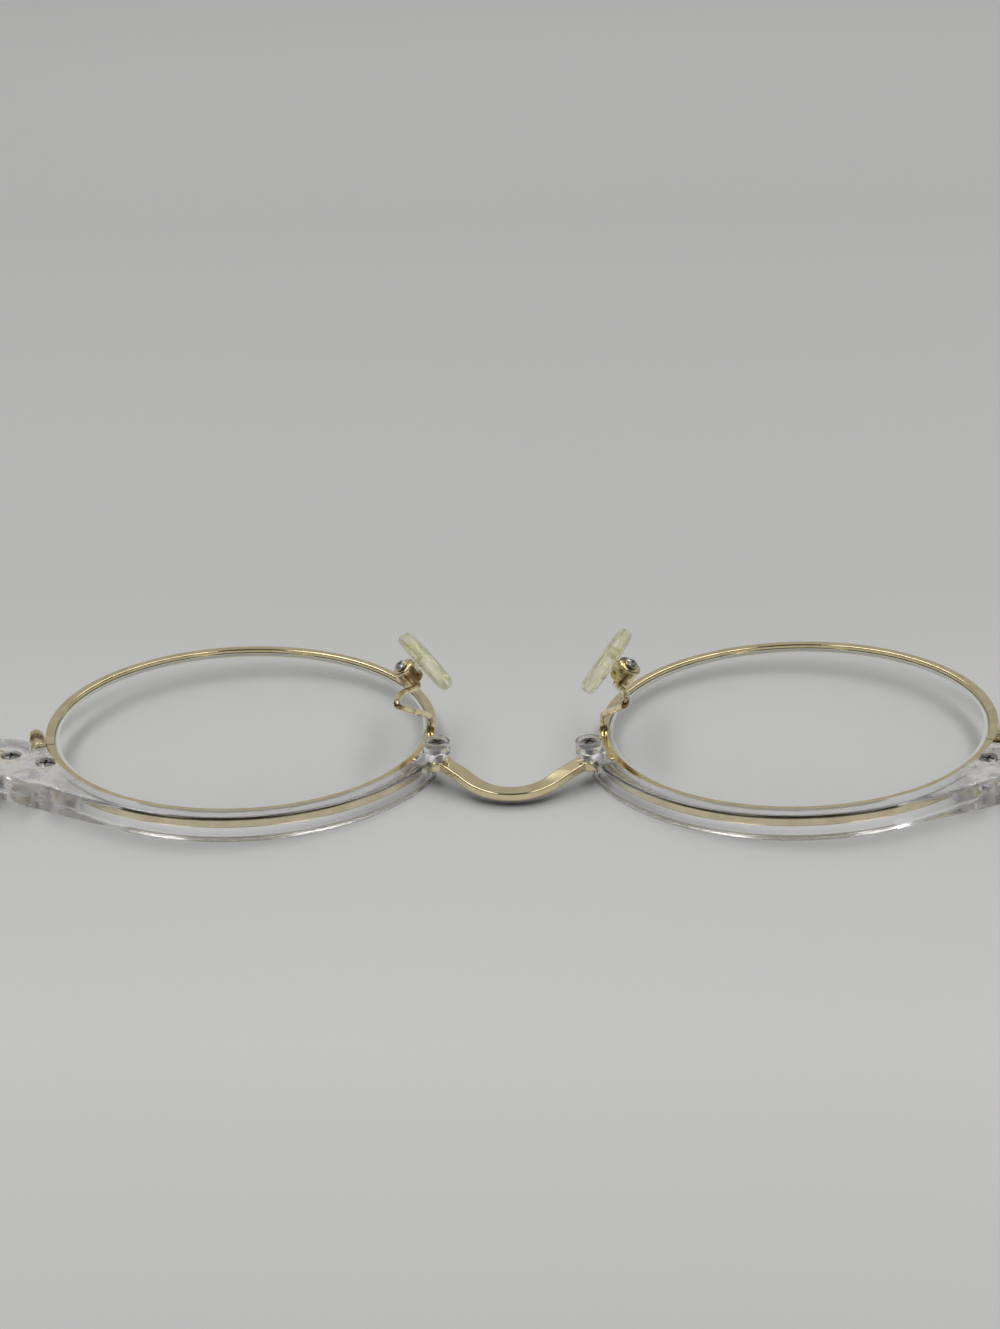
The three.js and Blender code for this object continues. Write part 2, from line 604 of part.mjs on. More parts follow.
function lugBody(grow) {
  const reach = LUG_PITCH - RIM_OUTER - SOLDER + grow;
  const half = LUG_RADIUS * 0.85 + grow;
  const low = LUG_TOP - BRIDGE_DEPTH - grow;
  const disc = rod(LUG_RADIUS + grow, low, LUG_TOP + grow, BARREL_SIDES);
  const foot = block(
    new THREE.Vector3(-reach, -half, low), new THREE.Vector3(0, half, LUG_TOP + grow),
  ).rotateZ(rad(LUG_ANGLE - 90));
  return moved(join(disc, foot), onRing(LUG_PITCH, LUG_ANGLE));
}

function bridge(eyeMatrix) {
  const lugMiddle = onRing(LUG_PITCH, LUG_ANGLE, LUG_TOP - BRIDGE_DEPTH / 2).applyMatrix4(eyeMatrix);
  const start = lugMiddle.clone().add(new THREE.Vector3(-LUG_RADIUS * 0.6, -LUG_RADIUS * 0.4, 0));
  const shares = [[1, 0], [0.78, 0.31], [0.5, 0.735], [0.25, 0.94], [0, 1]];
  const right = shares.map(([side, rise]) => new THREE.Vector3(
    start.x * side,
    mix(start.y, lugMiddle.y - BRIDGE_RISE, rise),
    start.z - BRIDGE_SET * rise,
  ));
  const left = right.slice(0, -1).reverse().map((p) => p.clone().setX(-p.x));
  const route = new THREE.CatmullRomCurve3([...right, ...left]);
  const halfHeight = BRIDGE_HEIGHT / 2;
  const halfDepth = BRIDGE_DEPTH / 2;
  const sections = [];
  for (let i = 0; i <= BRIDGE_STEPS; i++) {
    const place = route.getPointAt(i / BRIDGE_STEPS);
    const run = route.getTangentAt(i / BRIDGE_STEPS).setZ(0).normalize();
    const across = new THREE.Vector3(run.y, -run.x, 0);
    const bar = chamfered(-halfHeight, halfHeight, -halfDepth, halfDepth, halfDepth / 2);
    sections.push(bar.map(([side, back]) =>
      place.clone().addScaledVector(across, side).add(new THREE.Vector3(0, 0, back))));
  }
  const lug = lugBody(0).applyMatrix4(eyeMatrix);
  const bore = rod(SCREW_SHANK + HOLE, -BROW_DEPTH, BROW_DEPTH);
  const screwHole = moved(bore, onRing(LUG_PITCH, LUG_ANGLE)).applyMatrix4(eyeMatrix);
  const mirror = new THREE.Matrix4().makeScale(-1, 1, 1);
  const otherLug = lug.clone().applyMatrix4(mirror);
  const otherHole = screwHole.clone().applyMatrix4(mirror);
  return cut(join(loft(sections), lug, otherLug), screwHole, otherHole);
}

// Temple, its wire core and its half of the hinge, in axes with the hinge's axis as y and z up the temple

function templePoint(along) {
  const tilt = rad(TEMPLE_TILT);
  const bend = rad(TEMPLE_BEND);
  const straight = Math.min(along, TEMPLE_BEND_AT);
  const turned = THREE.MathUtils.clamp((along - TEMPLE_BEND_AT) / TEMPLE_BEND_RADIUS, 0, bend);
  const rest = Math.max(along - TEMPLE_BEND_AT - bend * TEMPLE_BEND_RADIUS, 0);
  const angle = tilt + turned;
  return {
    angle,
    y: templeDrop + straight * Math.sin(tilt)
      + TEMPLE_BEND_RADIUS * (Math.cos(tilt) - Math.cos(angle)) + rest * Math.sin(angle),
    z: straight * Math.cos(tilt)
      + TEMPLE_BEND_RADIUS * (Math.sin(angle) - Math.sin(tilt)) + rest * Math.cos(angle),
  };
}

function templeSection(along, thickness, height, edge, squareness) {
  const point = templePoint(along);
  const angle = point.angle * squareness;
  const middle = templeFace + TEMPLE_THICKNESS / 2;
  return chamfered(middle - thickness / 2, middle + thickness / 2, -height / 2, height / 2, edge).map(
    ([side, up]) => new THREE.Vector3(side, point.y + up * Math.cos(angle), point.z - up * Math.sin(angle)),
  );
}

function temple() {
  const butt = BUTT_GAP - BARREL_RISE;
  const sections = [];
  for (let i = 0; i <= TEMPLE_STATIONS; i++) {
    const share = i / TEMPLE_STATIONS;
    const along = mix(butt, TEMPLE_LENGTH, share ** 1.15);
    const slim = mix(TEMPLE_ROOT, TEMPLE_WAIST, ease(along, 0, TEMPLE_BEND_AT * 0.8));
    const height = mix(slim, TEMPLE_TIP, ease(along, TEMPLE_BEND_AT, TEMPLE_LENGTH));
    const squareness = ease(along, butt, TEMPLE_ROOT * 2);
    sections.push(templeSection(along, TEMPLE_THICKNESS, height, TEMPLE_ROUND, squareness));
  }
  for (const [beyond, share] of [[TEMPLE_TIP * 0.25, 0.88], [TEMPLE_TIP * 0.42, 0.6]]) {
    const thickness = TEMPLE_THICKNESS * mix(1, share, 0.5);
    const along = TEMPLE_LENGTH + beyond;
    sections.push(templeSection(along, thickness, TEMPLE_TIP * share, TEMPLE_ROUND * share, 1));
  }
  const leafLow = new THREE.Vector3(templeFace - FIT, leafMiddle - LEAF_HEIGHT / 2 - FIT, 2 * butt);
  const leafHigh = new THREE.Vector3(
    templeFace + LEAF_THICKNESS + FIT, leafMiddle + LEAF_HEIGHT / 2 + FIT, LEAF_LENGTH + FIT,
  );
  return cut(loft(sections), block(leafLow, leafHigh), templeCore(FIT));
}

function templeCore(grow = 0) {
  const start = LEAF_LENGTH + FIT - 2 * grow;
  const end = TEMPLE_LENGTH - CORE_END + grow;
  const sections = [];
  for (let i = 0; i <= TEMPLE_STATIONS; i++) {
    const along = mix(start, end, i / TEMPLE_STATIONS);
    const taper = mix(1, 0.7, i / TEMPLE_STATIONS);
    const height = CORE_HEIGHT * taper + 2 * grow;
    const thickness = CORE_THICKNESS + 2 * grow;
    const shift = templeFace + LEAF_THICKNESS / 2 + CORE_THICKNESS / 2;
    const section = templeSection(along, thickness, height, thickness / 4, ease(along, 0, TEMPLE_ROOT * 2));
    sections.push(section.map((p) => p.setX(p.x - templeFace - TEMPLE_THICKNESS / 2 + shift)));
  }
  return loft(sections);
}

const leafMiddle = templeDrop / 2 + KNUCKLE_WIDTH / 4;

function hingeLeaf() {
  const leafTop = BUTT_GAP - BARREL_RISE + FIT;
  const leaf = block(
    new THREE.Vector3(templeFace + SOLDER, leafMiddle - LEAF_HEIGHT / 2, leafTop),
    new THREE.Vector3(templeFace + LEAF_THICKNESS, leafMiddle + LEAF_HEIGHT / 2, LEAF_LENGTH),
  );
  const knuckles = [];
  for (let number = 1; number < KNUCKLES; number += 2) {
    const low = new THREE.Vector3(0, knuckleLow(number), -BARREL_RADIUS);
    const high = low.clone().add(
      new THREE.Vector3(templeFace + LEAF_THICKNESS / 2, KNUCKLE_WIDTH, 2 * BARREL_RADIUS));
    knuckles.push(join(barrel(number), block(low, high)));
  }
  return cut(join(leaf, ...knuckles), hingeBore());
}

// Finishes

const gold = () => new THREE.MeshStandardMaterial({ color: 0xd9bd84, roughness: 0.22, metalness: 1 });
const steel = () => new THREE.MeshStandardMaterial({ color: 0xa9abae, roughness: 0.3, metalness: 1 });
const clear = () =>
  new THREE.MeshStandardMaterial({ color: 0xf1f4f1, roughness: 0.08, transparent: true, opacity: 0.3 });
const glass = () =>
  new THREE.MeshStandardMaterial({ color: 0xf4f9f6, roughness: 0.03, transparent: true, opacity: 0.15 });
const softPad = () =>
  new THREE.MeshStandardMaterial({ color: 0xe6e9c3, roughness: 0.3, transparent: true, opacity: 0.7 });

function piece(name, geometry, material) {
  const mesh = new THREE.Mesh(geometry, material);
  mesh.name = name;
  return mesh;
}

// Assembly

function placed(geometry, point) {
  return geometry.translate(point.x, point.y, point.z);
}

function eye(side, sign) {
  const group = new THREE.Group();
  group.position.x = sign * EYE_OFFSET;
  group.rotation.y = -sign * rad(WRAP_ANGLE);
  group.scale.x = sign;

  const endScrew = () => screw(SCREW_HEAD, SCREW_HEAD_HEIGHT, SCREW_SHANK, browScrewLength);
  const noseScrew = screw(SCREW_HEAD, SCREW_HEAD_HEIGHT, SCREW_SHANK, noseScrewLength);
  group.add(
    piece(`${side}_eyewire`, eyewire(), gold()),
    piece(`${side}_lens`, lens(), glass()),
    piece(`${side}_closing_block_upper`, closingUpper(), gold()),
    piece(`${side}_closing_block_lower`, closingLower(), gold()),
    piece(`${side}_closing_screw`, closingScrew(), steel()),
    piece(`${side}_rim_lug`, rimLug(), gold()),
    piece(`${side}_brow`, brow(), clear()),
    piece(`${side}_brow_inner_screw`, placed(endScrew(), innerScrew), steel()),
    piece(`${side}_brow_outer_screw`, placed(endScrew(), outerScrew), steel()),
    piece(`${side}_brow_nose_screw`, placed(noseScrew, nosePlace), steel()),
    piece(`${side}_pad_arm`, padArm(), gold()),
    piece(`${side}_hinge_front`, hingeFront(), gold()),
    piece(`${side}_hinge_screw`, placed(hingeScrew(), hingeAxis), steel()),
  );

  const pad = new THREE.Group();
  pad.position.copy(padBoxPlace);
  pad.quaternion.setFromRotationMatrix(new THREE.Matrix4().makeBasis(padAway, padDown, padAcross));
  const rocking = new THREE.Group();
  rocking.rotation.z = rad(PAD_TURN[side]);
  rocking.add(
    piece(`${side}_pad_stem`, padStem(), softPad()),
    piece(`${side}_nose_pad`, nosePad(), softPad()),
  );
  pad.add(
    piece(`${side}_pad_box`, padBox(), gold()),
    piece(`${side}_pad_screw`, padScrew(), steel()),
    rocking,
  );

  const arm = new THREE.Group();
  arm.position.copy(hingeAxis);
  arm.rotation.y = rad(WRAP_ANGLE);
  arm.add(
    piece(`${side}_temple`, temple(), clear()),
    piece(`${side}_temple_core`, templeCore(), gold()),
    piece(`${side}_hinge_leaf`, hingeLeaf(), gold()),
  );

  group.add(pad, arm);
  return group;
}

const front = new THREE.Group();
const leftEye = eye("left", 1);
leftEye.updateMatrix();
front.add(leftEye, eye("right", -1), piece("bridge", bridge(leftEye.matrix), gold()));

// The origin is the middle of the lowest plane of the glasses' box
const box = new THREE.Box3().setFromObject(front, true);
const middle = box.getCenter(new THREE.Vector3());
front.position.set(-middle.x, -middle.y, -box.min.z);
front.updateMatrixWorld(true);

const eyeglasses = new THREE.Group();
eyeglasses.add(front);

export default eyeglasses;
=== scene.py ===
# %% [markdown]
# # Round eyeglasses lying face down
#
# These are combination glasses: gold round rims, a clear brow screwed over each rim, a gold arched
# bridge, nose pads on bent wires and clear temples with a gold core. They lie on their front, so the
# backs of the rims, the screws and the pads face up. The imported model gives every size, body and joint.
# This script keeps its places and gives each piece the smooth surface and the finish of the real one.

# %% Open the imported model
from math import acos, cos, degrees, pi, radians, sin, sqrt, tan

import bmesh
import bpy
import numpy as np
from mathutils import Matrix, Vector


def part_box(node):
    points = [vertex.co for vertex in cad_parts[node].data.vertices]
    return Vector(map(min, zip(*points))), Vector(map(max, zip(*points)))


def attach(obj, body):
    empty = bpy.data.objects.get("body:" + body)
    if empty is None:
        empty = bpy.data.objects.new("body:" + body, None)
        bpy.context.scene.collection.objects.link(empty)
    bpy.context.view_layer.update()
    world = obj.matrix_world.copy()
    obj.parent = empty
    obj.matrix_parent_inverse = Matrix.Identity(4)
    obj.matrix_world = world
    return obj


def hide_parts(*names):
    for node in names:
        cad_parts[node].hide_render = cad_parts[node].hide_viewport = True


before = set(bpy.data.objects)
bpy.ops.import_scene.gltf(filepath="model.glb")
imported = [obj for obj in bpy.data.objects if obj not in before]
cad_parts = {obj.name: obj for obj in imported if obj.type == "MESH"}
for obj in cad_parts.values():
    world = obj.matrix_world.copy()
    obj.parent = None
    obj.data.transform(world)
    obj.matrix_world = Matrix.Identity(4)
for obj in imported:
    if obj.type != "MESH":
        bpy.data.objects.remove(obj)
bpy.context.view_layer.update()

scene = bpy.context.scene
scene.view_settings.view_transform = "Standard"

# %% [markdown]
# ## Axes of the front and of one eye
#
# A pair of glasses is one eye, mirrored. Each eye is drawn once in millimetres, with its rim's back face
# in the plane z = 0, the brow towards -y and the temple towards +x. One matrix per side then turns the
# drawing by the wrap of the frame, mirrors it for the right eye and scales it to metres. The place of the
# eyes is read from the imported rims, so nothing is fitted by eye.

# %% Axes of the front and of one eye
MM = 0.001
SIDES = {"left": 1, "right": -1}
LENS_DIAMETER = 47
BRIDGE_WIDTH = 22
WRAP_ANGLE = 2.3
RIM_DEPTH = 1.7
EYE_OFFSET = (LENS_DIAMETER + BRIDGE_WIDTH) / 2

rim_low, rim_high = (Vector(corner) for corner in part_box("left_eyewire"))
rim_centre = (rim_low + rim_high) / 2
rim_back = rim_centre.z + RIM_DEPTH * MM / 2 * cos(radians(WRAP_ANGLE))
FRONT = Matrix.Translation((0, rim_centre.y, rim_back)) @ Matrix.Scale(MM, 4)


def eye_axes(sign):
    """Places a drawing of one eye: +1 is the wearer's left, -1 the right."""
    turn = Matrix.Rotation(-sign * radians(WRAP_ANGLE), 4, "Y")
    mirror = Matrix.Diagonal((sign, 1, 1, 1))
    return FRONT @ Matrix.Translation((sign * EYE_OFFSET, 0, 0)) @ turn @ mirror


print("rims' back face at", [round(value / MM, 2) for value in FRONT.translation], "mm")

# %% [markdown]
# ## Camera
#
# The photograph looks over the brow at a low angle, from close by, so its perspective is strong. The
# camera is set out as a photographer would say it: how far from the glasses, how high, how far to one
# side, and how much the phone leaned. The focal length is given in pixels of the 1000 by 1329 picture and
# turned into a lens for Blender's 36 mm sensor, which spans the longer side.

# %% Camera
PICTURE_HEIGHT = 1329
FOCAL_PIXELS = 2200
SENSOR = 36
CAMERA_DISTANCE = 289.64
CAMERA_ELEVATION = 23.62
CAMERA_AZIMUTH = 4.4
CAMERA_ROLL = -2.23
CAMERA_TARGET = (-3.2, 17.43, 0)

azimuth, elevation = radians(CAMERA_AZIMUTH), radians(CAMERA_ELEVATION)
towards = Vector((sin(azimuth) * cos(elevation), -cos(azimuth) * cos(elevation), sin(elevation)))
level = (-towards).cross(Vector((0, 0, 1))).normalized()
upright = level.cross(-towards)
lean = Matrix.Rotation(radians(CAMERA_ROLL), 3, towards)

camera = bpy.data.objects.new("camera", bpy.data.cameras.new("camera"))
camera.data.sensor_width = SENSOR
camera.data.lens = FOCAL_PIXELS * SENSOR / PICTURE_HEIGHT
camera_place = FRONT @ Vector(CAMERA_TARGET) + towards * CAMERA_DISTANCE * MM
camera_turn = Matrix((lean @ level, lean @ upright, towards)).transposed()
camera.matrix_world = Matrix.Translation(camera_place) @ camera_turn.to_4x4()
scene.collection.objects.link(camera)
scene.camera = camera
print("lens", round(camera.data.lens, 2), "mm, camera at", [round(v, 4) for v in camera_place])

# %% [markdown]
# ## Node trees as Python
#
# Materials and Geometry Nodes are graphs, but most of what they hold is arithmetic. Two small classes let
# the rest of the lesson write that arithmetic as Python. `Tree.add` makes any node: its settings first,
# then the values or links of its sockets. A `Socket` is one output of a node, and `+`, `-`, `*` and `/`
# on it add Math nodes, also with the number in front, as in `1 - mask`.

# %% Node trees as Python
class Socket:
    """An output of a node. Arithmetic on it adds Math nodes to its tree."""

    def __init__(self, tree, output):
        self.tree = tree
        self.output = output

    def maths(self, operation, first, second):
        return self.tree.add("ShaderNodeMath", {"operation": operation}, {0: first, 1: second})

    def __add__(self, other):
        return self.maths("ADD", self, other)

    def __radd__(self, other):
        return self.maths("ADD", other, self)

    def __sub__(self, other):
        return self.maths("SUBTRACT", self, other)

    def __rsub__(self, other):
        return self.maths("SUBTRACT", other, self)

    def __mul__(self, other):
        return self.maths("MULTIPLY", self, other)

    def __rmul__(self, other):
        return self.maths("MULTIPLY", other, self)

    def __truediv__(self, other):
        return self.maths("DIVIDE", self, other)

    def __rtruediv__(self, other):
        return self.maths("DIVIDE", other, self)


class Tree:
    """A node tree. Every node in it is made by the add method."""

    def __init__(self, nodes):
        self.nodes = nodes
        nodes.nodes.clear()

    def add(self, kind, settings=None, values=None, output=0):
        """Adds a node and returns one of its outputs, or all of them if output is None."""
        node = self.nodes.nodes.new(kind)
        for name, value in (settings or {}).items():
            if name == "stops":
                self.set_stops(node.color_ramp, value)
            else:
                setattr(node, name, value)
        for name, value in (values or {}).items():
            if isinstance(value, Socket):
                self.nodes.links.new(value.output, node.inputs[name])
            else:
                node.inputs[name].default_value = value
        if output is None:
            return [Socket(self, each) for each in node.outputs]
        return Socket(self, node.outputs[output]) if node.outputs else node

    @staticmethod
    def set_stops(ramp, stops):
        """Gives a colour ramp its stops, as pairs of position and colour."""
        while len(ramp.elements) < len(stops):
            ramp.elements.new(1)
        for element, (position, colour) in zip(ramp.elements, stops):
            element.position = position
            element.color = (*colour, 1)

    def ramp(self, value, low, high):
        """Rises smoothly from 0 to 1 as value goes from low to high."""
        ends = {"Value": value, "From Min": low, "From Max": high}
        return self.add("ShaderNodeMapRange", {"interpolation_type": "SMOOTHSTEP"}, ends)

    def noise(self, place, scale, detail=2.0, roughness=0.5):
        """Noise from 0 to 1 with about scale lumps per metre."""
        values = {"Vector": place, "Scale": scale, "Detail": detail, "Roughness": roughness}
        return self.add("ShaderNodeTexNoise", {}, values)

    def blend(self, share, first, second):
        """Mixes two colours, each a triple or a socket."""
        ends = [each if isinstance(each, Socket) else (*each, 1) for each in (first, second)]
        values = {"Factor": share, 6: ends[0], 7: ends[1]}
        return self.add("ShaderNodeMix", {"data_type": "RGBA"}, values, output=2)

    def place(self):
        """The place of a point on its object, in metres."""
        return self.add("ShaderNodeTexCoord", output="Object")

    def stored(self, name):
        """A value that is stored on the points of the mesh, or 0 where there is none."""
        return self.add("ShaderNodeAttribute", {"attribute_name": name}, output="Fac")

    def ray(self, kind):
        """1 for rays of one kind, such as Camera or Shadow."""
        return self.add("ShaderNodeLightPath", output=f"Is {kind} Ray")

    def bump(self, height, strength, distance):
        """A normal that leans with a height."""
        return self.add("ShaderNodeBump", {}, {"Height": height, "Strength": strength, "Distance": distance})

    def shader(self, values):
        """A Principled shader."""
        return self.add("ShaderNodeBsdfPrincipled", {}, values)

    def end(self, surface):
        """Ends a material with what its surface shows."""
        self.add("ShaderNodeOutputMaterial", {}, {"Surface": surface})

    def finish(self, values):
        """Ends a material with one Principled shader."""
        self.end(self.shader(values))


print("node classes ready")

# %% [markdown]
# ## Floor
#
# The glasses lie on a sheet of pale paper. It is plain geometry with a fine grain, and its tone is a
# painted falloff of light that changes a little with the distance from the camera, as it does in the
# photograph.

# %% Floor
FLOOR_SIZE = 3.0
FLOOR_COLOUR = (0.80, 0.80, 0.795)
# painted falloff of light: levels of the paper's tone with the distance from the camera
FLOOR_PAINTED_FALLOFF = [(0.0, 0.87), (0.07, 0.99), (0.16, 0.93), (0.24, 0.83), (0.6, 0.76), (1.0, 0.80)]
FLOOR_NEAR, FLOOR_FAR = -0.12, 0.58
PAPER_CLOUD = (9, 3)
PAPER_CLOUD_SHARE = 0.03
PAPER_CLOUD_GREY = (0.5, 0.5, 0.5)
PAPER_GRAIN = (1800, 3)
PAPER_BUMP = (0.12, 0.0001)
PAPER_ROUGHNESS = 0.62


def new_finish(name):
    """An empty material and its tree."""
    material = bpy.data.materials.new(name)
    material.use_nodes = True
    return material, Tree(material.node_tree)


def paper():
    """Pale paper with a faint cloud and a fine grain, whose tone changes with the distance as a painted
    falloff of light.
    """
    material, tree = new_finish("pale_paper")
    place = tree.place()
    cloud = tree.noise(place, *PAPER_CLOUD)
    grain = tree.noise(place, *PAPER_GRAIN)
    away = tree.add("ShaderNodeSeparateXYZ", {}, {"Vector": place}, output=1)
    ends = {"Value": away, "From Min": FLOOR_NEAR, "From Max": FLOOR_FAR}
    share = tree.add("ShaderNodeMapRange", {}, ends)
    # the painted falloff of light, from near to far
    stops = [(position, [level * channel for channel in FLOOR_COLOUR]) for position, level in FLOOR_PAINTED_FALLOFF]
    painted_falloff = tree.add("ShaderNodeValToRGB", {"stops": stops}, {"Fac": share})
    tree.finish({
        "Base Color": tree.blend(PAPER_CLOUD_SHARE * cloud, painted_falloff, PAPER_CLOUD_GREY),
        "Roughness": PAPER_ROUGHNESS,
        "Normal": tree.bump(grain, *PAPER_BUMP),
    })
    return material


def add_floor():
    """One large sheet under the glasses."""
    half = FLOOR_SIZE / 2
    corners = [(-half, -half, 0), (half, -half, 0), (half, half, 0), (-half, half, 0)]
    mesh = bpy.data.meshes.new("paper_floor")
    mesh.from_pydata(corners, [], [(0, 1, 2, 3)])
    mesh.materials.append(paper())
    floor = bpy.data.objects.new("paper_floor", mesh)
    scene.collection.objects.link(floor)


add_floor()
print("floor", FLOOR_SIZE, "m wide")

# %% [markdown]
# ## World and lamps
#
# Polished gold and clear acetate have almost no look of their own: they show what is around them. So the
# world is not one even grey. It is a dim room with a paler wall behind the glasses, and the dim part
# draws the thin dark lines along the wires. The camera, and whatever is seen through a clear piece, meets
# a pale backdrop in place of the room, so that the temples stay clear from the side. Two long ceiling
# lamps give the light. They hang one on each side and run away from the camera, so that the middle of the
# bridge does not mirror them.

# %% World and lamps
ROOM_LIGHT = 0.06
WALL_LIGHT = 0.38
WALL_HEIGHT = 24
WALL_EDGE = (0.45, 0.88)
BACKDROP_LIGHT = 0.4
WORLD_COLOUR = (1.0, 0.995, 0.985)
TUBE_SIDES = (-0.55, 0.55)
TUBE_AWAY = 0.25
TUBE_HEIGHT = 1.2
TUBE_LENGTH = 2.4
TUBE_WIDTH = 0.32
TUBE_WATTS = 7.9


def studio_world():
    """A dim room with a pale wall behind the glasses, and a backdrop for what is seen directly."""
    world = bpy.data.worlds.new("studio")
    world.use_nodes = True
    tree = Tree(world.node_tree)
    direction = tree.add("ShaderNodeTexCoord", output="Generated")
    _, away, up = tree.add("ShaderNodeSeparateXYZ", {}, {"Vector": direction}, output=None)
    tilt = radians(WALL_HEIGHT)
    wall = tree.ramp(cos(tilt) * away + sin(tilt) * up, *WALL_EDGE)
    room = ROOM_LIGHT + (WALL_LIGHT - ROOM_LIGHT) * wall
    seen = tree.ramp(tree.ray("Camera") + tree.ray("Transmission"), 0, 1)
    values = {"Color": (*WORLD_COLOUR, 1), "Strength": room + seen * (BACKDROP_LIGHT - room)}
    tree.add("ShaderNodeOutputWorld", {}, {"Surface": tree.add("ShaderNodeBackground", {}, values)})
    return world


def add_lamp(name, place):
    """A long ceiling lamp that points at the glasses."""
    lamp = bpy.data.lights.new(name, "AREA")
    lamp.shape = "RECTANGLE"
    lamp.size = TUBE_WIDTH
    lamp.size_y = TUBE_LENGTH
    lamp.energy = TUBE_WATTS
    holder = bpy.data.objects.new(name, lamp)
    holder.location = place
    holder.rotation_euler = (0, np.arctan2(place[0], place[2]), 0)
    scene.collection.objects.link(holder)


scene.world = studio_world()
for row, across in enumerate(TUBE_SIDES):
    add_lamp(f"ceiling_lamp_{row}", (across, TUBE_AWAY, TUBE_HEIGHT))
scene.cycles.caustics_refractive = False
scene.cycles.caustics_reflective = False
print(len(bpy.data.lights), "lamps of", TUBE_WATTS, "W")

# %% [markdown]
# ## Gold finishes
#
# The rims, bridge, wires and hinges are metal with a pale gold plating. It is polished but handled, so
# the finish is a metal whose colour and roughness drift a little, with faint hairlines from wiping. The
# hairlines are a noise squeezed along one direction, used as a very shallow bump. The small bent pieces
# get a second gold with sharp patches of a painted dark reflection, which stand in for the dark streaks
# that such tight curves mirror.

# %% Gold finishes
GOLD_LIGHT = (0.95, 0.82, 0.51)
GOLD_DEEP = (0.80, 0.67, 0.40)
# painted dark reflection: the dark tone of the streaks on the small bent pieces
PAINTED_STREAK_DARK = (0.26, 0.18, 0.09)
SOFT_PATCHES = (0.3, 0.75)
PAINTED_STREAK_EDGES = (0.44, 0.62)
GOLD_CLOUD = (420, 3, 0.6)
HAIRLINE = (2600, 3, 0.65)
HAIRLINE_SQUEEZE = (1, 1, 6)
HAIRLINE_BUMP = (0.05, 0.00003)
GOLD_ROUGHNESS = 0.06
CLOUD_ROUGHNESS = 0.09
HAIRLINE_ROUGHNESS = 0.04


def gold_finish(name, light, deep, edges):
    """Pale gold plating that drifts between two tones, sharply or softly; the second tone may be a painted
    dark reflection.
    """
    material, tree = new_finish(name)
    place = tree.place()
    squeezed = tree.add("ShaderNodeMapping", {}, {"Vector": place, "Scale": HAIRLINE_SQUEEZE})
    cloud = tree.noise(place, *GOLD_CLOUD)
    hairline = tree.noise(squeezed, *HAIRLINE)
    tree.finish({
        "Base Color": tree.blend(tree.ramp(cloud, *edges), light, deep),
        "Metallic": 1.0,
        "Roughness": GOLD_ROUGHNESS + CLOUD_ROUGHNESS * cloud + HAIRLINE_ROUGHNESS * hairline,
        "Normal": tree.bump(hairline, *HAIRLINE_BUMP),
    })
    return material


GOLD = gold_finish("polished_gold", GOLD_LIGHT, GOLD_DEEP, SOFT_PATCHES)
# gold with painted dark reflection streaks, for the bent wires, boxes and closing blocks
GOLD_WITH_PAINTED_STREAKS = gold_finish("gold_with_painted_streaks", GOLD_LIGHT, PAINTED_STREAK_DARK, PAINTED_STREAK_EDGES)
print("finishes", GOLD.name, GOLD_WITH_PAINTED_STREAKS.name)

# %% [markdown]
# ## Acetate finishes
#
# Brows and temples are clear acetate, which bends light, so it is a Principled shader with a high
# transmission. A clear shader blocks the lamps, and the floor under it would turn dark. One helper
# therefore mixes in a Transparent shader for shadow rays and for light that bounces from matt surfaces.
# Three values that are stored on the brow's points change its look: a painted dark reflection along the
# upper edge of the bar, a painted olive shade along its foot, and a frost of fine crystals on the end
# piece. The painted shade and the frost are partly matt, by a second shader without any shine. Acetate
# that was sawn for a pocket is left rough: that is a second finish for the cut faces.

# %% Acetate finishes
ACETATE = (0.985, 0.985, 0.99)
ACETATE_CLEAR = 0.95
ACETATE_IOR = 1.49
ACETATE_SWELL = (260, 2)
ACETATE_SCUFF = (5200, 4, 0.7)
ACETATE_BUMP = (0.04, 0.0002)
ACETATE_PALE_SHADOW = 0.97
WORN_EDGE = (0.35, 0.8)
# painted dark reflection along the bar's upper edge
PAINTED_REFLECTION_COLOUR = (0.008, 0.007, 0.005)
# painted olive shade along the bar's foot: its dark tint, its matt olive and its matt share
PAINTED_SHADE_TINT = (0.10, 0.09, 0.05)
PAINTED_SHADE_OLIVE = (0.55, 0.50, 0.32)
PAINTED_SHADE_SHARE = 0.6
FROST_GRAIN = 1400
FROST_PATCH = (FROST_GRAIN / 3, 3)
FROST_EDGE = (0.35, 0.6)
FROST_WHITE = (0.95, 0.93, 0.87)
FROST_SHARE = 0.5
FROST_ROUGHNESS = 0.16
SWELL_HEIGHT = 0.12
SCUFF_HEIGHT = 0.02
FROST_HEIGHT = 5.0
POLISHED_ROUGHNESS = (0.0, 0.10)
SAWN_ROUGHNESS = (0.30, 0.75)


def let_light_through(tree, shader, share):
    """Ends a clear material: lamps shine through it by that share, so its shadow stays pale."""
    passing = tree.ray("Shadow") + tree.ray("Diffuse")
    through = tree.add("ShaderNodeBsdfTransparent")
    tree.end(tree.add("ShaderNodeMixShader", {}, {0: passing * share, 1: shader, 2: through}))


